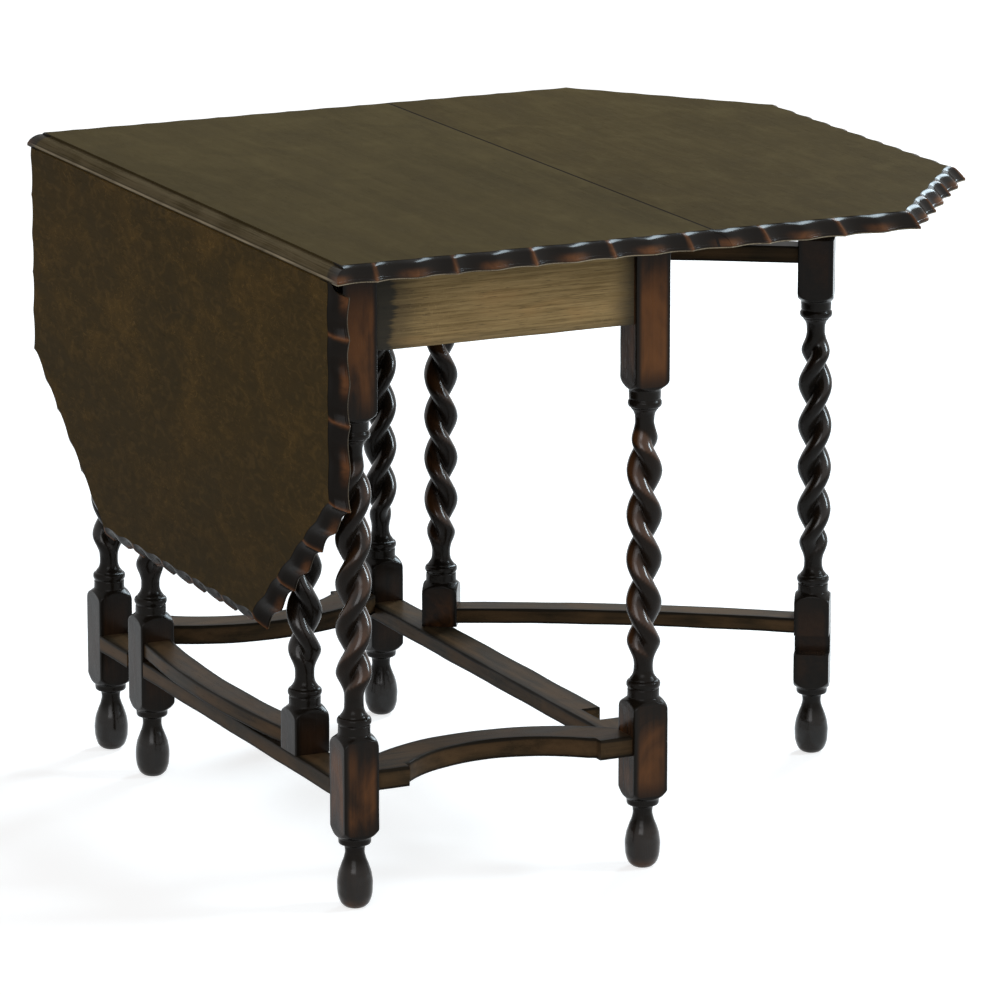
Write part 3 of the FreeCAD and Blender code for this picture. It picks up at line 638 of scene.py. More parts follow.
@dataclass(frozen=True)
class IronFinish:
    """Dull metal of hinges and screws, darkened by age and spotted with rust."""

    bright: Colour
    dull: Colour
    rust: Colour
    roughness: float
    clouds: Scale = (120.0, 120.0, 4.0, 0.5)
    grits: Scale = (900.0, 900.0, 3.0, 0.0)

    def material(self, name: str, seed: float) -> bpy.types.Material:
        """This finish on one piece.

        Args:
            name: Name of the piece.
            seed: A number of the piece's own, which moves the pattern.

        Returns:
            The material.
        """
        tree = ShaderTree(bpy.data.materials.new(name + "_iron"))
        point = tree.moved((seed, seed * 2, seed * 3), (0.0, 0.0, 0.0))
        cloud, grit = tree.noise(point, self.clouds), tree.noise(point, self.grits)
        rust = (cloud * 0.7 + grit * 0.3).step(0.56, 0.68)
        return tree.principled({
            "Base Color": tree.layered(self.dull, (grit, self.bright), (rust, self.rust)),
            "Metallic": 0.9 - rust * 0.8, "Roughness": self.roughness + rust * 0.35 + (grit - 0.5) * 0.1,
        }, grit + rust * 0.6, 0.3, 0.2 * MM)


BLACK_OAK = (0.0077, 0.0063, 0.0049)
TOP_OAK = BoardFinish(
    slot="oak_top", deep=(0.036, 0.0255, 0.0102), pale=(0.086, 0.0615, 0.0250), rubbed=(0.112, 0.085, 0.040),
    dirt=(0.018, 0.013, 0.008), rub=0.20, fleck=0.12, mottle=0.10, pores=0.35, roughness=0.50,
    specular=0.003, bump=0.18)
# Painted shade: the raised leaf's copy of the top's oak, darker to offset the window lamp's stronger light on
# it
SHADED_RAISED_OAK = replace(TOP_OAK, deep=(0.033, 0.0225, 0.0086), pale=(0.078, 0.0540, 0.0210))
LEAF_OAK = BoardFinish(
    slot="oak_top", deep=(0.024, 0.0165, 0.0036), pale=(0.073, 0.0425, 0.0100), rubbed=(0.165, 0.092, 0.025),
    dirt=(0.016, 0.012, 0.007), rub=0.32, fleck=0.38, mottle=0.26, pores=0.40, roughness=0.46,
    specular=0.008, bump=0.24, edge_coat=0.12, rim_highlight_and_wear=(0.16, 0.12, 0.08), outer_painted_shade=0.30, ray=0.60)
APRON_OAK = ApronFinish(
    slot="oak_apron", deep=(0.190, 0.123, 0.050), pale=(0.560, 0.390, 0.175), rubbed=(0.440, 0.240, 0.088),
    dirt=(0.035, 0.034, 0.029), rub=0.40, grime=0.55, fleck=0.30, pores=0.55, roughness=0.52,
    specular=0.06, bump=0.35)
HIDDEN_APRON_OAK = ApronFinish(
    slot="oak_apron", deep=(0.042, 0.025, 0.014), pale=(0.119, 0.070, 0.034), rubbed=(0.140, 0.070, 0.031),
    dirt=(0.020, 0.014, 0.011), rub=0.35, grime=0.6, fleck=0.2, pores=0.5, roughness=0.5,
    specular=0.06, bump=0.30)
TURNED_OAK = OakFinish(
    slot="oak_turned", deep=(0.007, 0.005, 0.0036), pale=(0.021, 0.0120, 0.0064),
    rubbed=(0.178, 0.067, 0.021), dirt=BLACK_OAK, rub=0.95, grime=0.90, pores=0.35, roughness=0.20,
    specular=0.10, bump=0.18, coat=0.55)
RAIL_OAK = OakFinish(
    slot="oak_rail", deep=(0.018, 0.0135, 0.0076), pale=(0.060, 0.040, 0.022), rubbed=(0.140, 0.076, 0.034),
    dirt=BLACK_OAK, rub=0.50, grime=0.75, fleck=0.15, pores=0.40, roughness=0.38, specular=0.03, bump=0.25)
BLOCK_OAK = OakFinish(
    slot="oak_block", deep=(0.090, 0.055, 0.026), pale=(0.240, 0.160, 0.080), rubbed=(0.290, 0.200, 0.115),
    dirt=(0.038, 0.026, 0.016), rub=0.3, grime=0.4, fleck=0.2, pores=0.5, roughness=0.62, specular=0.08,
    bump=0.35)
HINGE_IRON = IronFinish((0.11, 0.10, 0.09), (0.035, 0.032, 0.030), (0.09, 0.035, 0.014), 0.48)
SCREW_STEEL = IronFinish((0.24, 0.22, 0.19), (0.09, 0.08, 0.07), (0.10, 0.042, 0.018), 0.40)


def seed_of(name: str) -> float:
    """A number of a piece's own, from the letters of its name."""
    return sum(ord(letter) * (place + 3) for place, letter in enumerate(name)) % 97 / 9.7


def settle(piece: bpy.types.Object, node: str, body: str, finish: OakFinish, axis: Axis,
           turn: float = 0.0) -> None:
    """Dress a new piece, put it on its body and let it stand for its CAD node.

    Args:
        piece: The new object.
        node: The CAD node that it stands for.
        body: The CAD body that carries it.
        finish: Its oak.
        axis: Which way its grain runs.
        turn: Its turn about the upright axis.
    """
    piece.data.materials.append(finish.material(node, axis, turn, seed_of(node)))
    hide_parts(node)
    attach(piece, body)
    LOG.info("%s: %d faces on %s", piece.name, len(piece.data.polygons), body)


# Turned and twisted posts
class Ends(Enum):
    """What a post stands on and how it is cut."""

    LEG = "foot and block, for a corner of the frame"
    GATE_LEG = "foot and block, halved over stretcher and apron"
    PIVOT = "square ends between stretcher and apron"


@dataclass
class Post:
    """One post from a square of oak: blocks where it is joined, turned collars, a twist between."""

    node: str
    body: str
    ends: Ends
    hand: int
    share: float
    # Lowers the rubbed colour of posts that stand in shade: partly wear, partly painted shade
    wear_and_light: float
    turn: float = 0.0
    half: float = 21.0 * MM
    arris_power: float = 26.0
    shoulder_power: float = 60.0
    foot_high: float = 80.0 * MM
    foot_neck: float = 64.0 * MM
    scuff_high: float = 16.0 * MM
    low_face: float = 197.0 * MM
    top_face: float = 552.0 * MM
    shoulder: float = 13.0 * MM
    collar_high: float = 40.0 * MM
    neck_radius: float = 10.8 * MM
    strand_radius: float = 11.3 * MM
    strand_offset: float = 8.8 * MM
    pitch: float = 101.0 * MM
    fade: float = 34.0 * MM
    fade_over: float = 3.0 * MM
    around: int = 112
    fine_step: float = 0.9 * MM
    twist_step: float = 2.6 * MM
    foot_step: float = 1.1 * MM
    block_step: float = 12 * MM
    halving_low: tuple[float, float] = (124.0 * MM, 147.5 * MM)
    halving_top: float = 626.0 * MM

    def build(self) -> None:
        """Make the post and put it in its place.

        A power mean joins the square to the turned outline, and the twist takes over between the
        necks.
        """
        low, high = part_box(self.node)
        levels = self.levels(low.z, high.z)
        angle = self.angles()[None, :]
        level = levels[:, None]
        power = self.shoulder_power
        radius = (self.square_radius(angle) ** -power
                  + self.turned_radius(levels)[:, None] ** -power) ** (-1 / power)
        twist, groove = self.twisted(angle, level)
        share = self.twist_share(levels)[:, None]
        lift = eased(np.gradient(-twist, levels, axis=0) / 0.35)
        radius = np.where(share > 0, twist, radius)
        radius = radius + ripple(level + angle * 7 * MM, seed_of(self.node), size=0.12 * MM, length=41 * MM)
        x, y, z = np.broadcast_arrays(radius * np.cos(angle), radius * np.sin(angle), level)
        points = np.stack([x, y, z], axis=-1)
        if self.ends is Ends.GATE_LEG:
            points = self.halved(points)
        # The open share here is partly painted light: lighter on the strands' upper sides, darker in the
        # grooves and on posts in shade (painted shade)
        open_face = self.openness(angle, levels, (1 - groove) * lift, share) * self.wear_and_light
        polish = eased((lift - 0.6) / 0.35) * (1 - groove) * eased(share * 2)
        polish = np.maximum(polish, self.bulb_share(levels)[:, None] * 0.75)
        place = Place((low.x + high.x) / 2, (low.y + high.y) / 2, self.turn)
        piece = piece_from_rings(self.node, place.carry(points),
                                 {Mark.OPEN: open_face, Mark.GLOSS: polish}, sharp=38.0)
        settle(piece, self.node, self.body, TURNED_OAK, Axis.UP, self.turn)

    def angles(self) -> np.ndarray:
        """Directions round the post, closer together at the four arrises."""
        even = 2 * math.pi * np.arange(self.around) / self.around
        return even + 0.19 * np.sin(4 * even)

    def levels(self, low: float, high: float) -> np.ndarray:
        """Levels of the rings: fine where the post is turned or twisted, coarse along its blocks.

        Args:
            low: The post's lower end.
            high: Its upper end.

        Returns:
            Rising levels, those at a halving given twice for its flat faces.
        """
        block_top, block_low = self.low_face - self.shoulder, self.top_face + self.shoulder
        neck_low, neck_top = self.low_face + self.collar_high, self.top_face - self.collar_high
        foot_top = self.foot_high + self.shoulder
        stretches = [(block_top, neck_low, self.fine_step), (neck_low, neck_top, self.twist_step),
                     (neck_top, block_low, self.fine_step), (block_low, high, self.block_step)]
        if self.ends is Ends.PIVOT:
            stretches.append((low, block_top, self.block_step))
        else:
            stretches += [(low, foot_top, self.foot_step), (foot_top, block_top, self.block_step)]
        steps = np.unique(np.round(np.concatenate([ladder(*stretch) for stretch in stretches]), 7))
        if self.ends is Ends.GATE_LEG:
            cuts = np.array([*self.halving_low, self.halving_top])
            steps = np.sort(np.concatenate([steps, cuts, cuts + HAIR]))
        return steps

    def square_radius(self, angle: np.ndarray) -> np.ndarray:
        """Distance to a square's faces with eased arrises: a power mean of the two directions."""
        power = self.arris_power
        return self.half * (np.abs(np.cos(angle)) ** power + np.abs(np.sin(angle)) ** power) ** (-1 / power)

    def turned_radius(self, levels: np.ndarray) -> np.ndarray:
        """The lathe's outline: foot, shoulders, collars, beads and coves, wide where the square is left.

        Args:
            levels: Levels along the post.

        Returns:
            The radius at each.
        """
        corner = self.half * math.sqrt(2) + 1 * MM
        upper = self.collar(levels - self.low_face, corner)
        lower = self.collar(self.top_face - levels, corner)
        radius = np.where(levels < (self.low_face + self.top_face) / 2, upper, lower)
        if self.ends is not Ends.PIVOT:
            foot = flowing((
                (0.0, 8.6 * MM), (1.2 * MM, 11.5 * MM), (6.4 * MM, 16.4 * MM), (16.8 * MM, 19.4 * MM),
                (27.2 * MM, 20.0 * MM), (39 * MM, 18.6 * MM), (49.6 * MM, 15.2 * MM), (57.6 * MM, 12.2 * MM),
                (64 * MM, 11.0 * MM), (69 * MM, 11.4 * MM), (72.4 * MM, 13.4 * MM), (73.4 * MM, 17.4 * MM),
                (75 * MM, 18.2 * MM), (79 * MM, 18.4 * MM), (80 * MM, 18.6 * MM),
                (84 * MM, 23.5 * MM), (93 * MM, corner)), levels)
            radius = np.where(levels < self.foot_high + self.shoulder, foot, radius)
        return radius

    def collar(self, rise: np.ndarray, corner: float) -> np.ndarray:
        """Radius of the turned end of a block by the rise from its face towards the neck.

        The shoulder leaves the square's corner, a flat band follows, then a bead, which is a part
        of an ellipse, and a cove.

        Args:
            rise: Rise above the block's face, less than 0 inside the block.
            corner: Radius at the square's corner.

        Returns:
            The radius.
        """
        line = flowing((
            (-self.shoulder, corner), (-6 * MM, 26.6 * MM), (-1 * MM, 20.6 * MM), (1 * MM, 18.4 * MM),
            (2 * MM, 18.0 * MM), (10.6 * MM, 17.9 * MM), (12.2 * MM, 16.2 * MM), (13.2 * MM, 15.9 * MM),
            (21.0 * MM, 15.9 * MM), (22.4 * MM, 15.4 * MM), (25 * MM, 13.4 * MM), (29 * MM, 11.6 * MM),
            (33.2 * MM, 10.9 * MM), (40 * MM, self.neck_radius)), rise)
        bead = np.sqrt(np.clip(1 - ((rise - 16.4 * MM) / (4.6 * MM)) ** 2, 0, 1)) * 3.3 * MM
        return line + bead

    def bulb_share(self, levels: np.ndarray) -> np.ndarray:
        """How wide the foot's bulb is at each level, from 0 off it to 1."""
        return eased((self.turned_radius(levels) - 12 * MM) / (6 * MM)) * (levels < self.foot_neck)

    def twist_share(self, levels: np.ndarray) -> np.ndarray:
        """How far the twist has swollen from the necks: a squared sine over the fade.

        Args:
            levels: Levels along the post.

        Returns:
            A share from 0 to 1 for each.
        """
        low = self.low_face + self.collar_high - self.fade_over
        high = self.top_face - self.collar_high + self.fade_over
        edge = np.clip(np.minimum(levels - low, high - levels) / self.fade, 0, 1)
        return np.sin(edge * math.pi / 2) ** 2

    def twisted(self, angle: np.ndarray, level: np.ndarray) -> tuple[np.ndarray, np.ndarray]:
        """Radius of two strands wound round each other: the outer wall of two circles set apart.

        Args:
            angle: Directions round the post.
            level: Levels along it.

        Returns:
            The radius, and how deep in the groove each place is, from 0 on a crest to 1.
        """
        grown = self.twist_share(level)
        turn = self.hand * 2 * math.pi * (level / self.pitch - self.share / 2)
        facing = angle - turn
        offset = self.strand_offset * grown
        strand = self.neck_radius + (self.strand_radius - self.neck_radius) * grown
        lean = np.sqrt(np.cos(facing) ** 2 + 0.0016) - 0.01
        radius = offset * lean + np.sqrt(np.clip(strand ** 2 - (offset * np.sin(facing)) ** 2, 0, None))
        return radius, grown * np.abs(np.sin(facing)) ** 10

    def halved(self, points: np.ndarray) -> np.ndarray:
        """Cut away the inner half where the leg closes over the stretcher and the apron.

        Args:
            points: Rings of the whole post about its own axis.

        Returns:
            The rings with the cut ones pressed onto the middle plane.
        """
        level = points[..., 2]
        low, high = self.halving_low
        cut = ((level > low + SLIVER) & (level <= high + SLIVER)) | (level > self.halving_top + SLIVER)
        pressed = points.copy()
        pressed[..., 0] = np.where(cut, np.maximum(points[..., 0], 0.0), points[..., 0])
        return pressed

    def openness(self, angle: np.ndarray, levels: np.ndarray, lit_upper_side: np.ndarray,
                 share: np.ndarray) -> np.ndarray:
        """How open to hands each place is: block faces and the foot's scuffed end by wear; on the twist the
        strands' upper sides are lighter, as painted light, and the grooves darker, as painted shade.

        Args:
            angle: Directions round the post.
            levels: Levels along it.
            lit_upper_side: How far each place of the twist faces up and out of its groove: painted light
                there, painted shade in the grooves.
            share: How far the twist has swollen.

        Returns:
            A share from 0 to 1 for each ring and place.
        """
        across = np.maximum(np.abs(np.cos(angle)), np.abs(np.sin(angle)))
        face = eased((across - 0.72) / 0.12)
        away = np.minimum(np.abs(levels - BOARD_LOW) / 1.6, np.abs(levels - self.top_face))
        away = np.minimum(away, np.minimum(np.abs(levels - self.low_face), np.abs(levels - self.foot_high)))
        block = face * (0.25 + 0.75 * eased(away / (34 * MM)))[:, None]
        scuffed = eased(1 - levels / self.scuff_high) * 0.7
        bulb = 0.05 + (self.bulb_share(levels) * 0.15 + scuffed)[:, None]
        turned = self.turned_radius(levels)[:, None] < self.half * 1.2
        value = np.where(turned, bulb * np.ones_like(face), block)
        blend = eased(share * 3)
        # Painted light on the strands' upper sides, painted shade in their grooves
        return value * (1 - blend) + (0.15 + 0.50 * lit_upper_side) * blend


# Boards of the top
class Board(Enum):
    """The three boards of the top."""

    FIXED = "top_fixed"
    LEFT = "leaf_left"
    RIGHT = "leaf_right"


@dataclass
class CarvedTop:
    """An octagonal top with a carved edge, in three boards with rule joints between."""

    half_length: float = 445.7 * MM
    leaf_deep: float = 432.7 * MM
    corner_run: float = 250.0 * MM
    outer_half: float = 222.5 * MM
    slope: float = 19.3 * MM
    pitch: float = 94.5 * MM
    hollow: float = 6.0 * MM
    rule_radius: float = 14.0 * MM
    rule_gap: float = 0.4 * MM
    per_pitch: int = 32
    hinge_rows: tuple[float, ...] = (-330.0 * MM, 0.0, 330.0 * MM)
    groove_half: float = 30.4 * MM
    groove_radius: float = 3.4 * MM
    slot_deep: float = 0.3 * MM
    slot_reach: float = 16.0 * MM

    def __post_init__(self) -> None:
        """Work out how far the near edge runs, how long its pitches are and how its corners turn."""
        self.edge_run = HINGE_OUT + self.corner_run
        pitches = 2 * self.edge_run / self.pitch
        self.edge_pitch = self.pitch * (pitches / round(pitches))
        lean = math.atan2(self.leaf_deep - self.corner_run, self.half_length - self.outer_half)
        self.near_mitre = math.tan((QUARTER - lean) / 2)
        self.outer_mitre = math.tan(lean / 2)

    def build(self) -> None:
        """Make the three boards."""
        for board, finish in ((Board.FIXED, TOP_OAK), (Board.RIGHT, SHADED_RAISED_OAK), (Board.LEFT, LEAF_OAK)):
            rings, marks = self.fixed_rings() if board is Board.FIXED else self.leaf_rings()
            if board is Board.LEFT:
                rings = self.hung(rings)
            rings = rings + np.array([MIDDLE.x, MIDDLE.y, 0.0])
            piece = piece_from_rings(board.value, rings, marks, sharp=33.0)
            if board is Board.FIXED:
                hollow_out(piece, self.grooves())
            body = "left_leaf" if board is Board.LEFT else "frame"
            settle(piece, board.value, body, finish, Axis.ALONG)

    def levels(self) -> np.ndarray:
        """Levels of the rings, from the top face down: close where the edge or the rule joint bends."""
        drops = np.array([0, 0.2, 0.5, 0.9, 1.4, 2, 2.7, 3.4, 4.2, 5, 6, 7, 8, 9, 10, 11, 12, 13, 13.7,
                          13.71, 14.4, 15, 15.6, 16.2, 16.8, 17.3, 17.7, 18]) * MM
        bend = PIN_LEVEL + self.rule_radius * np.sin(np.radians(np.arange(0, 91, 9)))
        levels = np.concatenate([TABLE_HIGH - drops, bend, bend + self.rule_gap])
        levels = levels[(levels <= TABLE_HIGH) & (levels >= BOARD_LOW)]
        return np.unique(np.round(levels, 6))[::-1]

    def inset(self, levels: np.ndarray) -> np.ndarray:
        """How far the carved edge lies inside the outermost line, by level.

        From the top face a roll turns down into a long slope and a thin bottom bead.

        Args:
            levels: Levels of the rings.

        Returns:
            The inset of each.
        """
        shares = flowing((
            (0.0, 1.0), (0.025, 0.91), (0.06, 0.80), (0.10, 0.695), (0.15, 0.60), (0.20, 0.535),
            (0.28, 0.46), (0.40, 0.355), (0.55, 0.235), (0.66, 0.15), (0.72, 0.11), (0.755, 0.095),
            (0.775, 0.06), (0.80, 0.03), (0.84, 0.008), (0.90, 0.0), (0.95, 0.0), (1.0, 0.035)),
            (TABLE_HIGH - levels) / BOARD_THICK)
        return shares * self.slope

    def cut(self, inset: np.ndarray, phase: np.ndarray) -> np.ndarray:
        """How far the scalloped edge lies inside the outermost line.

        Each pitch starts at a sharp cusp and has a soft crest at its middle: a sine's size times a
        power of the cosine's, over their greatest product. The cut is full on the slope, and less
        by the fourth power towards the top line.

        Args:
            inset: The inset of each ring.
            phase: Places along the edge, in pitches.

        Returns:
            The inset with the scallops' depth.
        """
        sine, cosine = np.abs(np.sin(math.pi * phase)), np.abs(np.cos(math.pi * phase))
        depth = sine ** 0.9 * cosine ** 1.5 / 0.44
        return inset + self.hollow * (1 - 0.65 * (inset / self.slope) ** 4) * depth

    def straight_run(self, reach: float) -> np.ndarray:
        """Stations along the near edge from the middle of the top out to a reach."""
        cell = self.edge_pitch / self.per_pitch
        return np.append(np.arange(0, reach - cell / 2, cell), reach)

    def rule_out(self, levels: np.ndarray, gap: float) -> np.ndarray:
        """How far out the rule joint's surface lies at each level: a quarter circle on the hinge line.

        Args:
            levels: Levels of the rings.
            gap: How far this surface stands off the fixed board's.

        Returns:
            The distance from the middle of the top, by ring.
        """
        radius = self.rule_radius + gap
        rise = np.clip(levels - PIN_LEVEL, 0, radius)
        return np.maximum(HINGE_OUT + np.sqrt(radius ** 2 - rise ** 2), HINGE_OUT + gap)[:, None]

    def edge_points(self, run: np.ndarray, inset: np.ndarray, side: int) -> tuple[np.ndarray, np.ndarray]:
        """Points and phases along the near or far edge at given distances out.

        Args:
            run: Distances from the middle, by ring and station.
            inset: The inset of each ring.
            side: -1 on the near edge and 1 on the far one.

        Returns:
            The points in plan, and each one's place in pitches.
        """
        trimmed = self.edge_run - inset * self.near_mitre
        phase = run / trimmed * self.edge_run / self.edge_pitch
        along = self.half_length - self.cut(inset, phase)
        return np.stack([run, side * along], axis=-1), phase

    def fixed_rings(self) -> tuple[np.ndarray, Marks]:
        """Rings of the middle board: near edge, right rule joint, far edge, left rule joint."""
        levels = self.levels()
        inset = self.inset(levels)[:, None]
        out = self.rule_out(levels, 0.0)
        half = self.straight_run(HINGE_OUT + self.rule_radius)
        stations = np.concatenate([-half[:0:-1], half])[None, :]
        run = np.clip(stations * np.ones_like(out), -out, out)
        near, near_phase = self.edge_points(run, inset, -1)
        far, far_phase = self.edge_points(run[:, ::-1], inset, 1)
        share = np.linspace(0, 1, 33)[None, 1:-1]
        joints = []
        for start, end, reach in ((near[:, -1], far[:, 0], out), (far[:, -1], near[:, 0], -out)):
            along = start[:, 1:] * (1 - share) + end[:, 1:] * share
            joints.append(np.stack([reach * np.ones_like(along), along], axis=-1))
        blank = np.full(joints[0].shape[:2], np.nan)
        plan = np.concatenate([near, joints[0], far, joints[1]], axis=1)
        phase = np.concatenate([near_phase, blank, far_phase, blank], axis=1)
        return self.stacked(plan, levels), self.edge_marks(phase, levels)

    def grooves(self) -> list[bpy.types.Object]:
        """Solids to cut from the fixed board's underside: room for each hinge's barrel and leaf plate.

        Each is most of a circle, whose lower outer part is drawn out into a shallow slot.

        Returns:
            One solid for each hinge.
        """
        barrels = []
        roof = BOARD_LOW + self.slot_deep - PIN_LEVEL
        angle = np.linspace(math.asin(roof / self.groove_radius), 1.5 * math.pi, 21)
        outwards = np.append(self.groove_radius * np.cos(angle), [self.slot_reach, self.slot_reach])
        upwards = np.append(self.groove_radius * np.sin(angle), [-self.groove_radius, roof])
        for side in (-1, 1):
            for row in self.hinge_rows:
                ends = np.array([row - self.groove_half, row + self.groove_half])[:, None]
                across = side * (HINGE_OUT + outwards)[None, :]
                rise = PIN_LEVEL + upwards[None, :]
                rings = np.stack(np.broadcast_arrays(MIDDLE.x + across, MIDDLE.y + ends, rise), axis=-1)
                barrels.append(piece_from_rings("groove", rings, {}, sharp=30.0))
        return barrels

    def leaf_rings(self) -> tuple[np.ndarray, Marks]:
        """Rings of a leaf in its raised place on the right: carved edge out and back, then the joint."""
        levels = self.levels()
        inset = self.inset(levels)[:, None]
        out = self.rule_out(levels, self.rule_gap)
        half = self.straight_run(self.edge_run)
        half = half[half > HINGE_OUT - self.pitch / self.per_pitch][None, :]
        run = np.maximum(half * (1 - inset * self.near_mitre / self.edge_run), out)
        near, near_phase = self.edge_points(run, inset, -1)
        far, far_phase = self.edge_points(run[:, ::-1], inset, 1)
        reach = HINGE_OUT + self.leaf_deep
        corners = np.array([[self.edge_run, -self.half_length], [reach, -self.outer_half],
                            [reach, self.outer_half], [self.edge_run, self.half_length]])
        mitres = (self.near_mitre, self.outer_mitre, self.outer_mitre, self.near_mitre)
        sides = [self.side_points(corners[index:index + 2], mitres[index:index + 2], inset)
                 for index in range(3)]
        spread = np.linspace(1, -1, 31)[1:-1][None, :]
        joint = np.stack([out * np.ones_like(spread), near[:, :1, 1] * -spread], axis=-1)
        plan = np.concatenate([near] + [points for points, _ in sides] + [far, joint], axis=1)
        phase = np.concatenate([near_phase] + [value for _, value in sides]
                               + [far_phase, np.full(joint.shape[:2], np.nan)], axis=1)
        return self.stacked(plan, levels), self.edge_marks(phase, levels)

    def side_points(self, corners: np.ndarray, mitres: tuple[float, ...],
                    inset: np.ndarray) -> tuple[np.ndarray, np.ndarray]:
        """Points along one cant or the outer side, between mitred corners drawn in by the inset.

        Args:
            corners: The side's two corners.
            mitres: How far the inset shortens the side at each of them, as a share of the inset.
            inset: The inset of each ring.

        Returns:
            The points in plan, and each one's place in pitches.
        """
        start, end = corners
        length = float(np.linalg.norm(end - start))
        along = (end - start) / length
        inward = np.array([-along[1], along[0]])
        pitches = round(length / self.pitch)
        t = np.linspace(0, 1, pitches * self.per_pitch + 1)[None, :]
        place = inset * mitres[0] + t * (length - inset * (mitres[0] + mitres[1]))
        phase = t * pitches * np.ones_like(place)
        return start + place[..., None] * along + self.cut(inset, phase)[..., None] * inward, phase

    def stacked(self, plan: np.ndarray, levels: np.ndarray) -> np.ndarray:
        """Give plan points their levels."""
        height = levels[:, None] * np.ones(plan.shape[:2])
        return np.concatenate([plan, height[..., None]], axis=-1)

    def edge_marks(self, phase: np.ndarray, levels: np.ndarray) -> Marks:
        """Marks of the carved edge: where it is, where it is rubbed, and where polish is left.

        Hands rub a thin line at each cusp and a soft patch at each middle. The rim mark is a painted
        highlight: a light line on the bottom bead, partly a worn arris, and on the rule joint a light line at
        its lower lip and a lighter painted band over its rounding.

        Args:
            phase: Places along the edge in pitches, or no number on a rule joint.
            levels: Levels of the rings.

        Returns:
            The point attributes.
        """
        drop = ((TABLE_HIGH - levels) / BOARD_THICK)[:, None]
        carved = np.isfinite(phase).astype(float)
        known = np.nan_to_num(phase, nan=0.25)
        away = np.abs(known - np.round(known))
        line, middle = np.clip(1 - away / 0.045, 0, 1), eased((away - 0.20) / 0.30)
        inner = (drop < 0.999).astype(float)
        carve = carved * eased(drop / 0.04) * inner
        lower = eased((drop - 0.25) / 0.45) * eased((0.97 - drop) / 0.12)
        rubbed = line * 0.7 + middle * lower * 0.5 + lower * 0.08
        round_joint = (1 - carved) * eased((drop - 0.5) / 0.4) * inner
        # Painted highlight: the bead's light line, the rule joint's lip line and its lighter painted band
        bottom_line = carved * eased((drop - 0.91) / 0.04) * inner
        lip = eased((drop - 0.72) / 0.06) * eased((0.91 - drop) / 0.06)
        rounding = eased((drop - 0.10) / 0.10) * eased((0.72 - drop) / 0.10) * 0.2
        return {Mark.CARVE: carve, Mark.CREASE: np.clip(rubbed, 0, 1) * carved,
                Mark.RIM: bottom_line + (1 - carved) * (lip + rounding),
                Mark.GLOSS: np.maximum(carve, round_joint * 0.5), Mark.OPEN: np.ones_like(carve)}

    def hung(self, rings: np.ndarray) -> np.ndarray:
        """Mirror the raised leaf to the left and turn it down about its hinge line by a quarter.

        Args:
            rings: Rings of the raised leaf.

        Returns:
            Rings of the hanging one.
        """
        out = -rings[..., 0] + HINGE_OUT
        rise = rings[..., 2] - PIN_LEVEL
        return np.stack([-HINGE_OUT - rise, rings[..., 1], PIN_LEVEL + out], axis=-1)


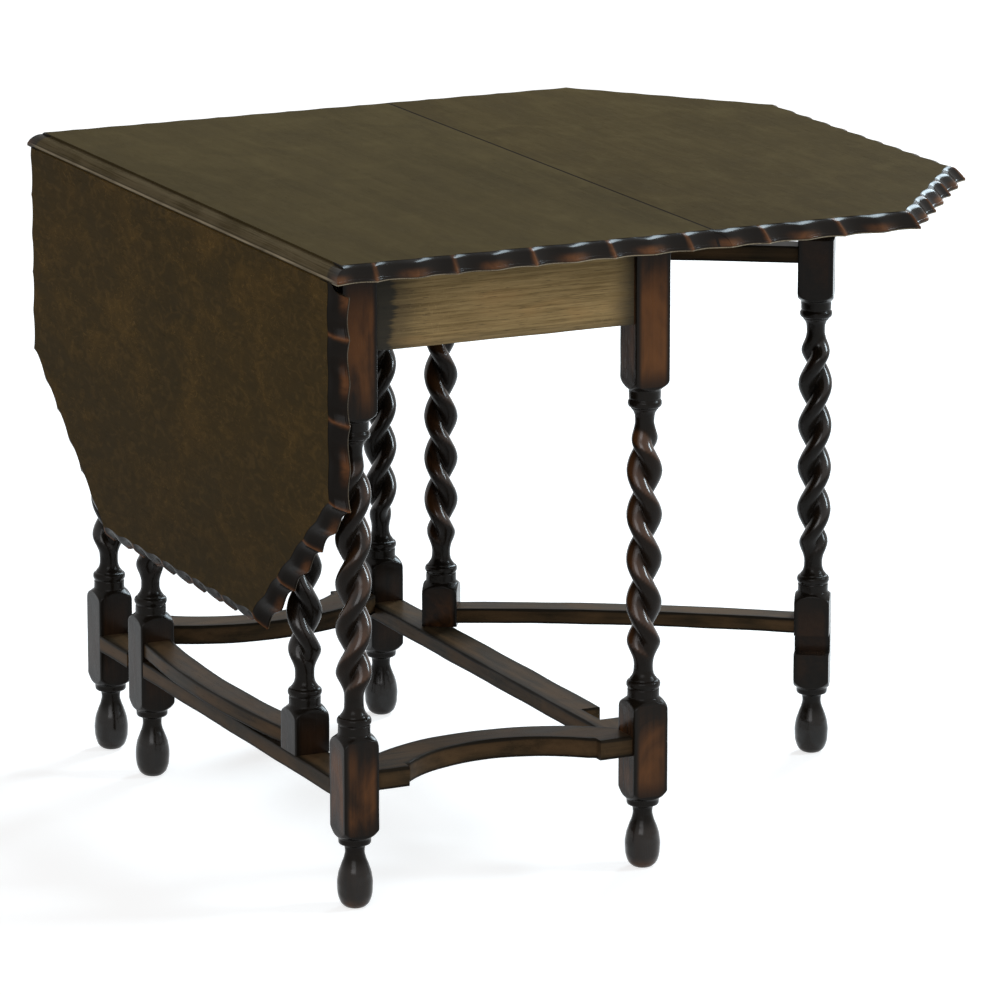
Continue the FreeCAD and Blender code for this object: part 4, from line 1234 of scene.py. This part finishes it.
# Rails, aprons, stretchers and blocks
@dataclass
class Bar:
    """A bar of rectangular section with eased arrises, drawn along its own X about its own middle."""

    node: str
    body: str
    finish: OakFinish
    reach: float
    low: float
    high: float
    half: float
    place: Place
    bow: float = 0.0
    arris: float = 1.6 * MM
    step: float = 9.0 * MM
    waver: float = 0.15 * MM
    notch: Optional[tuple[float, float, float]] = None

    def build(self) -> None:
        """Make the bar and put it in its place."""
        along = self.stations()
        seed = seed_of(self.node)
        low = self.low + ripple(along, seed + 1, self.waver, length=190 * MM)
        high = self.high + ripple(along, seed + 2, self.waver, length=230 * MM)
        rings, open_face = self.sections(along, low, high)
        end_share = ((along + self.reach) / (2 * self.reach))[:, None] * np.ones(rings.shape[:2])
        piece = piece_from_rings(self.node, self.place.carry(rings),
                                 {Mark.OPEN: open_face, Mark.END: end_share}, sharp=40.0)
        settle(piece, self.node, self.body, self.finish, Axis.ACROSS, self.place.turn)

    def stations(self) -> np.ndarray:
        """Places along the bar, doubled where a notch starts and ends."""
        along = ladder(-self.reach, self.reach, self.step)
        if self.notch:
            edges = np.array(self.notch[:2])
            along = np.sort(np.concatenate([along, edges - HAIR, edges + HAIR]))
        return along

    def sides(self, along: np.ndarray) -> tuple[np.ndarray, np.ndarray]:
        """The two upright faces: straight, or bowed to a parabola, and cut back at the notch.

        Args:
            along: Places along the bar.

        Returns:
            The near and far face at each place.
        """
        sag = self.bow * (1 - (along / self.reach) ** 2)
        wander = ripple(along, seed_of(self.node), self.waver, length=260 * MM)
        near, far = sag - self.half + wander, sag + self.half + wander
        if self.notch:
            first, last, deep = self.notch
            inside = (along > first) & (along < last)
            if deep > 0:
                far = np.where(inside, self.half - deep, far)
            else:
                near = np.where(inside, -self.half - deep, near)
        return near, far

    def sections(self, along: np.ndarray, low: np.ndarray, high: np.ndarray) -> tuple[np.ndarray, np.ndarray]:
        """Rounded rectangles between the four faces at each place.

        Each side of the ring is a line and then the quarter circle of an arris, and the four sides
        are one another turned by a right angle, which a factor of i does to a complex number.

        Args:
            along: Places along the bar.
            low: The lower face.
            high: The upper face.

        Returns:
            The rings, and how open to hands each place is.
        """
        flat = np.array([0.0, 0.04, 0.12, 0.3, 0.5, 0.7, 0.88, 0.96, 1.0])
        arris = np.radians([22.5, 45.0, 67.5])
        run = np.append(flat, np.ones_like(arris))
        lean = np.append(np.zeros_like(flat), arris)
        turn, corner = np.array([[1], [1j], [-1], [-1j]]), np.array([[0], [1], [1 + 1j], [1j]])
        share = (corner + turn * run).ravel()
        out = (turn * (np.sin(lean) - 1j * np.cos(lean))).ravel()
        face = np.append(eased((1 - np.abs(2 * flat - 1)) / 0.35), np.zeros_like(arris))
        near, far = (side[:, None] for side in self.sides(along))
        low, high = low[:, None], high[:, None]
        r = self.arris * (1 + 0.35 * np.sin(along * 47 + seed_of(self.node)))[:, None]
        y = near + r + share.real * (far - near - 2 * r) + out.real * r
        z = low + r + share.imag * (high - low - 2 * r) + out.imag * r
        x = along[:, None] * np.ones_like(y)
        return np.stack([x, y, z], axis=-1), np.tile(face, 4)[None, :] * np.ones_like(y)


@dataclass
class BowedStretcher(Bar):
    """A stretcher between two legs: flush stubs, then a stepped-back hollow on its outer side."""

    step: float = 6.0 * MM
    stub: float = 40.6 * MM
    stub_step: float = 7.0 * MM
    hollow: float = 52.0 * MM
    scroll_long: float = 9.0 * MM
    scroll_deep: float = 3.5 * MM

    def stations(self) -> np.ndarray:
        """Places along the bar, close at the scrolled roots of the stubs and doubled at their steps."""
        edge = self.reach - self.stub
        root = ladder(edge - self.scroll_long, edge - HAIR, 1 * MM)
        cuts = np.array([-edge - HAIR, edge + HAIR])
        return np.unique(np.concatenate([ladder(-self.reach, self.reach, self.step), root, -root, cuts]))

    def sides(self, along: np.ndarray) -> tuple[np.ndarray, np.ndarray]:
        """The outer face hollowed by a circle's arc between the stubs, the inner one by another.

        Args:
            along: Places along the bar.

        Returns:
            The inner and outer face at each place.
        """
        edge = self.reach - self.stub
        scroll = eased(1 - (edge - np.abs(along)) / self.scroll_long) * self.scroll_deep
        outer = np.where(np.abs(along) > edge, self.half,
                         self.half - self.stub_step - scroll - self.sagged(along, edge, self.hollow))
        inner = -self.half - self.sagged(along, self.reach, self.stub_step + self.hollow)
        return inner, outer

    def sagged(self, along: np.ndarray, reach: float, rise: float) -> np.ndarray:
        """Distance from the chord to a circle's arc with a given reach and rise.

        Args:
            along: Places along the chord, from its middle.
            reach: Half the chord.
            rise: The arc's rise at its middle.

        Returns:
            The distance at each place.
        """
        radius = (reach ** 2 + rise ** 2) / (2 * rise)
        held = np.clip(np.abs(along), 0, reach)
        return np.sqrt(radius ** 2 - held ** 2) - (radius - rise)


@dataclass
class Frame:
    """Legs, aprons, stretchers and fixing blocks."""

    body: str = "frame"
    apron_cut: float = 19.8 * MM
    stretcher_cut: float = 23.0 * MM
    notch_right: float = -227.5 * MM
    notch_left: float = 225.0 * MM
    notch_gap: float = 3.5 * MM

    def __post_init__(self) -> None:
        """Work out how far the boards reach from the middle, across the frame and along it."""
        self.across = middle_of("leg_near_right").x - Post.half + LET_IN - MIDDLE.x
        self.along = middle_of("leg_far_right").y - Post.half + LET_IN

    def build(self) -> None:
        """Make every wooden piece of the frame."""
        # Last number: wear and painted shade, low on the far legs that stand in shade
        for node, hand, share, wear_and_light in (("leg_near_left", 1, 0.42, 0.9), ("leg_near_right", -1, 0.93, 0.9),
                                        ("leg_far_right", 1, 0.78, 0.3), ("leg_far_left", -1, 0.0, 0.3)):
            Post(node, self.body, Ends.LEG, hand, share, wear_and_light).build()
        for end in ("near", "far"):
            self.board_across("apron_" + end)
        for kind, finish, cut in (("apron_", HIDDEN_APRON_OAK, self.apron_cut),
                                  ("stretcher_", RAIL_OAK, self.stretcher_cut)):
            for side, word in ((-1, "left"), (1, "right")):
                self.board_along(kind + word, side, finish, cut)
        for side, word in ((-1, "near"), (1, "far")):
            self.bowed("stretcher_" + word, side)
        for number in range(1, 5):
            self.block("fixing_block_%d" % number)

    def board_across(self, node: str) -> None:
        """An end apron, whose tenons stay hidden in the legs.

        Args:
            node: The CAD node.
        """
        low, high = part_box(node)
        place = Place(MIDDLE.x, (low.y + high.y) / 2)
        Bar(node, self.body, APRON_OAK, self.across, low.z, high.z, (high.y - low.y) / 2, place).build()

    def board_along(self, node: str, side: int, finish: OakFinish, cut: float) -> None:
        """A board along Y with a notch on its outer face for the closed gate leg.

        Args:
            node: The CAD node.
            side: -1 on the left and 1 on the right.
            finish: Its oak.
            cut: How deep the notch is.
        """
        low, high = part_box(node)
        closed = self.notch_right if side > 0 else self.notch_left
        wide = Post.half + self.notch_gap
        place = Place((low.x + high.x) / 2, 0.0, QUARTER)
        Bar(node, self.body, finish, self.along, low.z, high.z, (high.x - low.x) / 2, place,
            notch=(closed - wide, closed + wide, -side * cut)).build()

    def bowed(self, node: str, side: int) -> None:
        """A bowed stretcher between two legs, its hollow side outwards.

        Args:
            node: The CAD node.
            side: -1 at the near end and 1 at the far one.
        """
        low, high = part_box(node)
        outer = high.y if side > 0 else -low.y
        place = Place(MIDDLE.x, (outer - Post.half) * side, 0.0 if side > 0 else math.pi)
        BowedStretcher(node, self.body, RAIL_OAK, self.across, low.z, high.z, Post.half, place).build()

    def block(self, node: str) -> None:
        """A small block along Y inside a long apron.

        Args:
            node: The CAD node.
        """
        low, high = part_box(node)
        place = Place((low.x + high.x) / 2, (low.y + high.y) / 2, QUARTER)
        Bar(node, self.body, BLOCK_OAK, (high.y - low.y) / 2, low.z, high.z, (high.x - low.x) / 2, place,
            arris=BLOCK_ARRIS).build()


@dataclass
class Gate:
    """A gate: pivot post, leg and two rails, drawn closed and turned about its pins."""

    word: str
    turn: float
    leg_share: float
    post_share: float
    # Rubbed colour of the post and leg, low where they stand in shade: partly painted shade
    post_wear_and_light: float
    leg_wear_and_light: float = 0.3
    gate_long: float = 445.0 * MM
    lower_half: float = 17.5 * MM
    lower_bow: float = 13.0 * MM
    upper_half: float = 16.0 * MM

    def build(self) -> None:
        """Make the gate's wooden pieces."""
        for kind, ends, hand, share, wear_and_light in (
                ("pivot_post_", Ends.PIVOT, -1, self.post_share, self.post_wear_and_light),
                ("gate_leg_", Ends.GATE_LEG, 1, self.leg_share, self.leg_wear_and_light)):
            Post(kind + self.word, self.word + "_gate", ends, hand, share, wear_and_light, self.turn).build()
        self.rail("gate_rail_lower_" + self.word, self.lower_half, self.lower_bow)
        self.rail("gate_rail_upper_" + self.word, self.upper_half, 0.0)

    def rail(self, node: str, half: float, bow: float) -> None:
        """A rail from the pivot post to the gate leg.

        Args:
            node: The CAD node.
            half: Half its width.
            bow: How far its middle stands out.
        """
        low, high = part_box(node)
        turn = self.turn - QUARTER
        away = Vector((math.cos(turn), math.sin(turn), 0.0))
        centre = middle_of("pivot_post_" + self.word) + away * (self.gate_long / 2)
        reach = self.gate_long / 2 - Post.half + LET_IN
        Bar(node, self.word + "_gate", RAIL_OAK, reach, low.z, high.z, half,
            Place(centre.x, centre.y, turn), bow=bow).build()


@dataclass
class StopBlock:
    """The block under a leaf that its open gate leg meets."""

    word: str
    length: float = 50.0 * MM
    wide: float = 20.0 * MM

    def build(self) -> None:
        """Make the block on its node, upright under the hanging leaf or level under the raised one."""
        node = "stop_block_" + self.word
        low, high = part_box(node)
        hangs = self.word == "left"
        body = "left_leaf" if hangs else "frame"
        thick = (high.x - low.x) if hangs else (high.z - low.z)
        bar = Bar(node, body, BLOCK_OAK, self.length / 2, -thick / 2, thick / 2, self.wide / 2,
                  Place(0.0, 0.0), arris=BLOCK_ARRIS)
        along = bar.stations()
        flat = np.ones_like(along)
        rings, open_face = bar.sections(along, flat * bar.low, flat * bar.high)
        spin = Matrix.Rotation(OPEN_TURN - QUARTER, 3, "Z")
        if hangs:
            spin = Matrix.Rotation(-QUARTER, 3, "Y") @ Matrix.Rotation(math.pi, 3, "Z") @ spin
        points = rings @ np.array(spin).T + np.array((low + high) / 2)
        piece = piece_from_rings(node, points, {Mark.OPEN: open_face}, sharp=40.0)
        settle(piece, node, body, BLOCK_OAK, Axis.ALONG)


@dataclass
class Hardware:
    """Hinges, pins and screws: CAD nodes that keep their shape and get their metal."""

    def build(self) -> None:
        """Dress every metal node, and the wooden pivot pins."""
        for node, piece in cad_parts.items():
            if node.startswith("hinge_"):
                material = HINGE_IRON.material(node, seed_of(node))
            elif node.startswith("screws_"):
                material = SCREW_STEEL.material(node, seed_of(node))
            elif node.startswith("pivot_pins_"):
                material = BLOCK_OAK.material(node, Axis.UP, 0.0, seed_of(node))
            else:
                continue
            piece.data.materials.clear()
            piece.data.materials.append(material)
            LOG.info("%s: dressed", piece.name)


@dataclass(frozen=True)
class Lamp:
    """One soft rectangular lamp: where it hangs, what it points at, its size, power and colour."""

    name: str
    place: tuple[float, float, float]
    aim: tuple[float, float, float]
    size: tuple[float, float]
    power: float
    colour: Colour

    def build(self) -> None:
        """Hang the lamp."""
        data = bpy.data.lights.new(self.name, "AREA")
        data.shape = "RECTANGLE"
        data.size, data.size_y = self.size
        data.energy = self.power
        data.color = self.colour
        lamp = put(self.name, data)
        lamp.location = self.place
        lamp.rotation_euler = (Vector(self.aim) - Vector(self.place)).to_track_quat("-Z", "Y").to_euler()


WINDOW = Lamp("window", (2.15, 1.55, 2.68), (0.10, -0.35, 0.72), (0.75, 3.00), 122.0, (0.74, 0.90, 1.0))
SIDE = Lamp("side", (3.10, -1.50, 2.15), (0.10, -0.20, 0.45), (0.65, 0.75), 60.0, (0.78, 0.92, 1.0))
FRONT = Lamp("front", (-3.0, -4.2, 3.0), (0.0, 0.0, 0.4), (3.0, 2.4), 80.0, (0.98, 0.98, 1.0))


@dataclass
class Studio:
    """Camera, pale floor and soft light."""

    camera_place: tuple[float, float, float] = (-3.25238, -6.70062, 2.17572)
    azimuth: float = -25.5953
    elevation: float = 13.805
    focal_px: float = 6594.4
    frame_px: float = 995.0
    sensor: float = 36.0
    sees_to: float = 100.0
    floor_reach: float = 60.0
    floor_glow: float = 0.70
    far_glow: float = 0.16
    far_from: tuple[float, float] = (1.2, 4.5)
    dim: float = 0.32

    def build(self) -> None:
        """Set up the camera, floor, world and lamps."""
        self.camera()
        self.floor()
        self.world()
        for lamp in (WINDOW, SIDE, FRONT):
            lamp.build()
        bpy.context.scene.view_settings.view_transform = "Standard"

    def camera(self) -> None:
        """The photograph's camera, level, from the near left."""
        azimuth, elevation = math.radians(self.azimuth), math.radians(self.elevation)
        back = Vector((math.sin(azimuth) * math.cos(elevation), -math.cos(azimuth) * math.cos(elevation),
                       math.sin(elevation)))
        data = bpy.data.cameras.new("camera")
        data.sensor_width = self.sensor
        data.lens = self.focal_px / self.frame_px * self.sensor
        data.clip_end = self.sees_to
        camera = put("camera", data)
        camera.location = self.camera_place
        camera.rotation_euler = (-back).to_track_quat("-Z", "Y").to_euler()
        bpy.context.scene.camera = camera

    def floor(self) -> None:
        """A wide pale floor that keeps the table's shadow."""
        reach = self.floor_reach
        mesh = bpy.data.meshes.new("floor")
        mesh.from_pydata([(-reach, -reach, 0), (reach, -reach, 0), (reach, reach, 0), (-reach, reach, 0)],
                         [], [(0, 1, 2, 3)])
        floor = put("floor", mesh)
        tree = ShaderTree(bpy.data.materials.new("pale_floor"))
        length = tree.node("ShaderNodeVectorMath", {"operation": "LENGTH"}, {0: tree.place()})
        away = Value(tree, length.outputs["Value"])
        glow = self.seen(tree) * (self.floor_glow + away.step(*self.far_from) * self.far_glow)
        diffuse = tree.node("ShaderNodeBsdfDiffuse", {}, {"Color": (0.60, 0.60, 0.60, 1.0)})
        light = tree.node("ShaderNodeEmission", {}, {"Color": (1.0, 1.0, 1.0, 1.0), "Strength": glow})
        both = tree.node("ShaderNodeAddShader", {}, {0: diffuse.outputs[0], 1: light.outputs[0]})
        mesh.materials.append(tree.closed(both, "Material"))

    def seen(self, tree: ShaderTree) -> Value:
        """1 for rays from the camera, a mirror or glass, and 0 for those that carry light."""
        path = tree.node("ShaderNodeLightPath", {}, {})
        camera, glossy, through = (Value(tree, path.outputs[name]) for name in
                                   ("Is Camera Ray", "Is Glossy Ray", "Is Transmission Ray"))
        return tree.maths("MAXIMUM", tree.maths("MAXIMUM", camera, glossy), through)

    def world(self) -> None:
        """White where it is seen, and a soft even light elsewhere."""
        world = bpy.data.worlds.new("studio")
        bpy.context.scene.world = world
        tree = ShaderTree(world)
        strength = self.seen(tree) * (1 - self.dim) + self.dim
        light = tree.node("ShaderNodeBackground", {}, {"Color": (1.0, 1.0, 1.0, 1.0), "Strength": strength})
        tree.closed(light, "World")


def main() -> None:
    """Build the studio and then the table, piece by piece."""
    logging.basicConfig(level=logging.INFO, format="%(name)s %(message)s")
    Studio().build()
    Frame().build()
    CarvedTop().build()
    # Last numbers lower the rubbed colour of posts that stand in shade: partly painted shade
    Gate("right", OPEN_TURN, 0.40, 0.45, 0.8).build()
    Gate("left", math.pi, 0.01, 0.92, 0.3).build()
    StopBlock("right").build()
    StopBlock("left").build()
    Hardware().build()


if __name__ == "__main__":
    main()
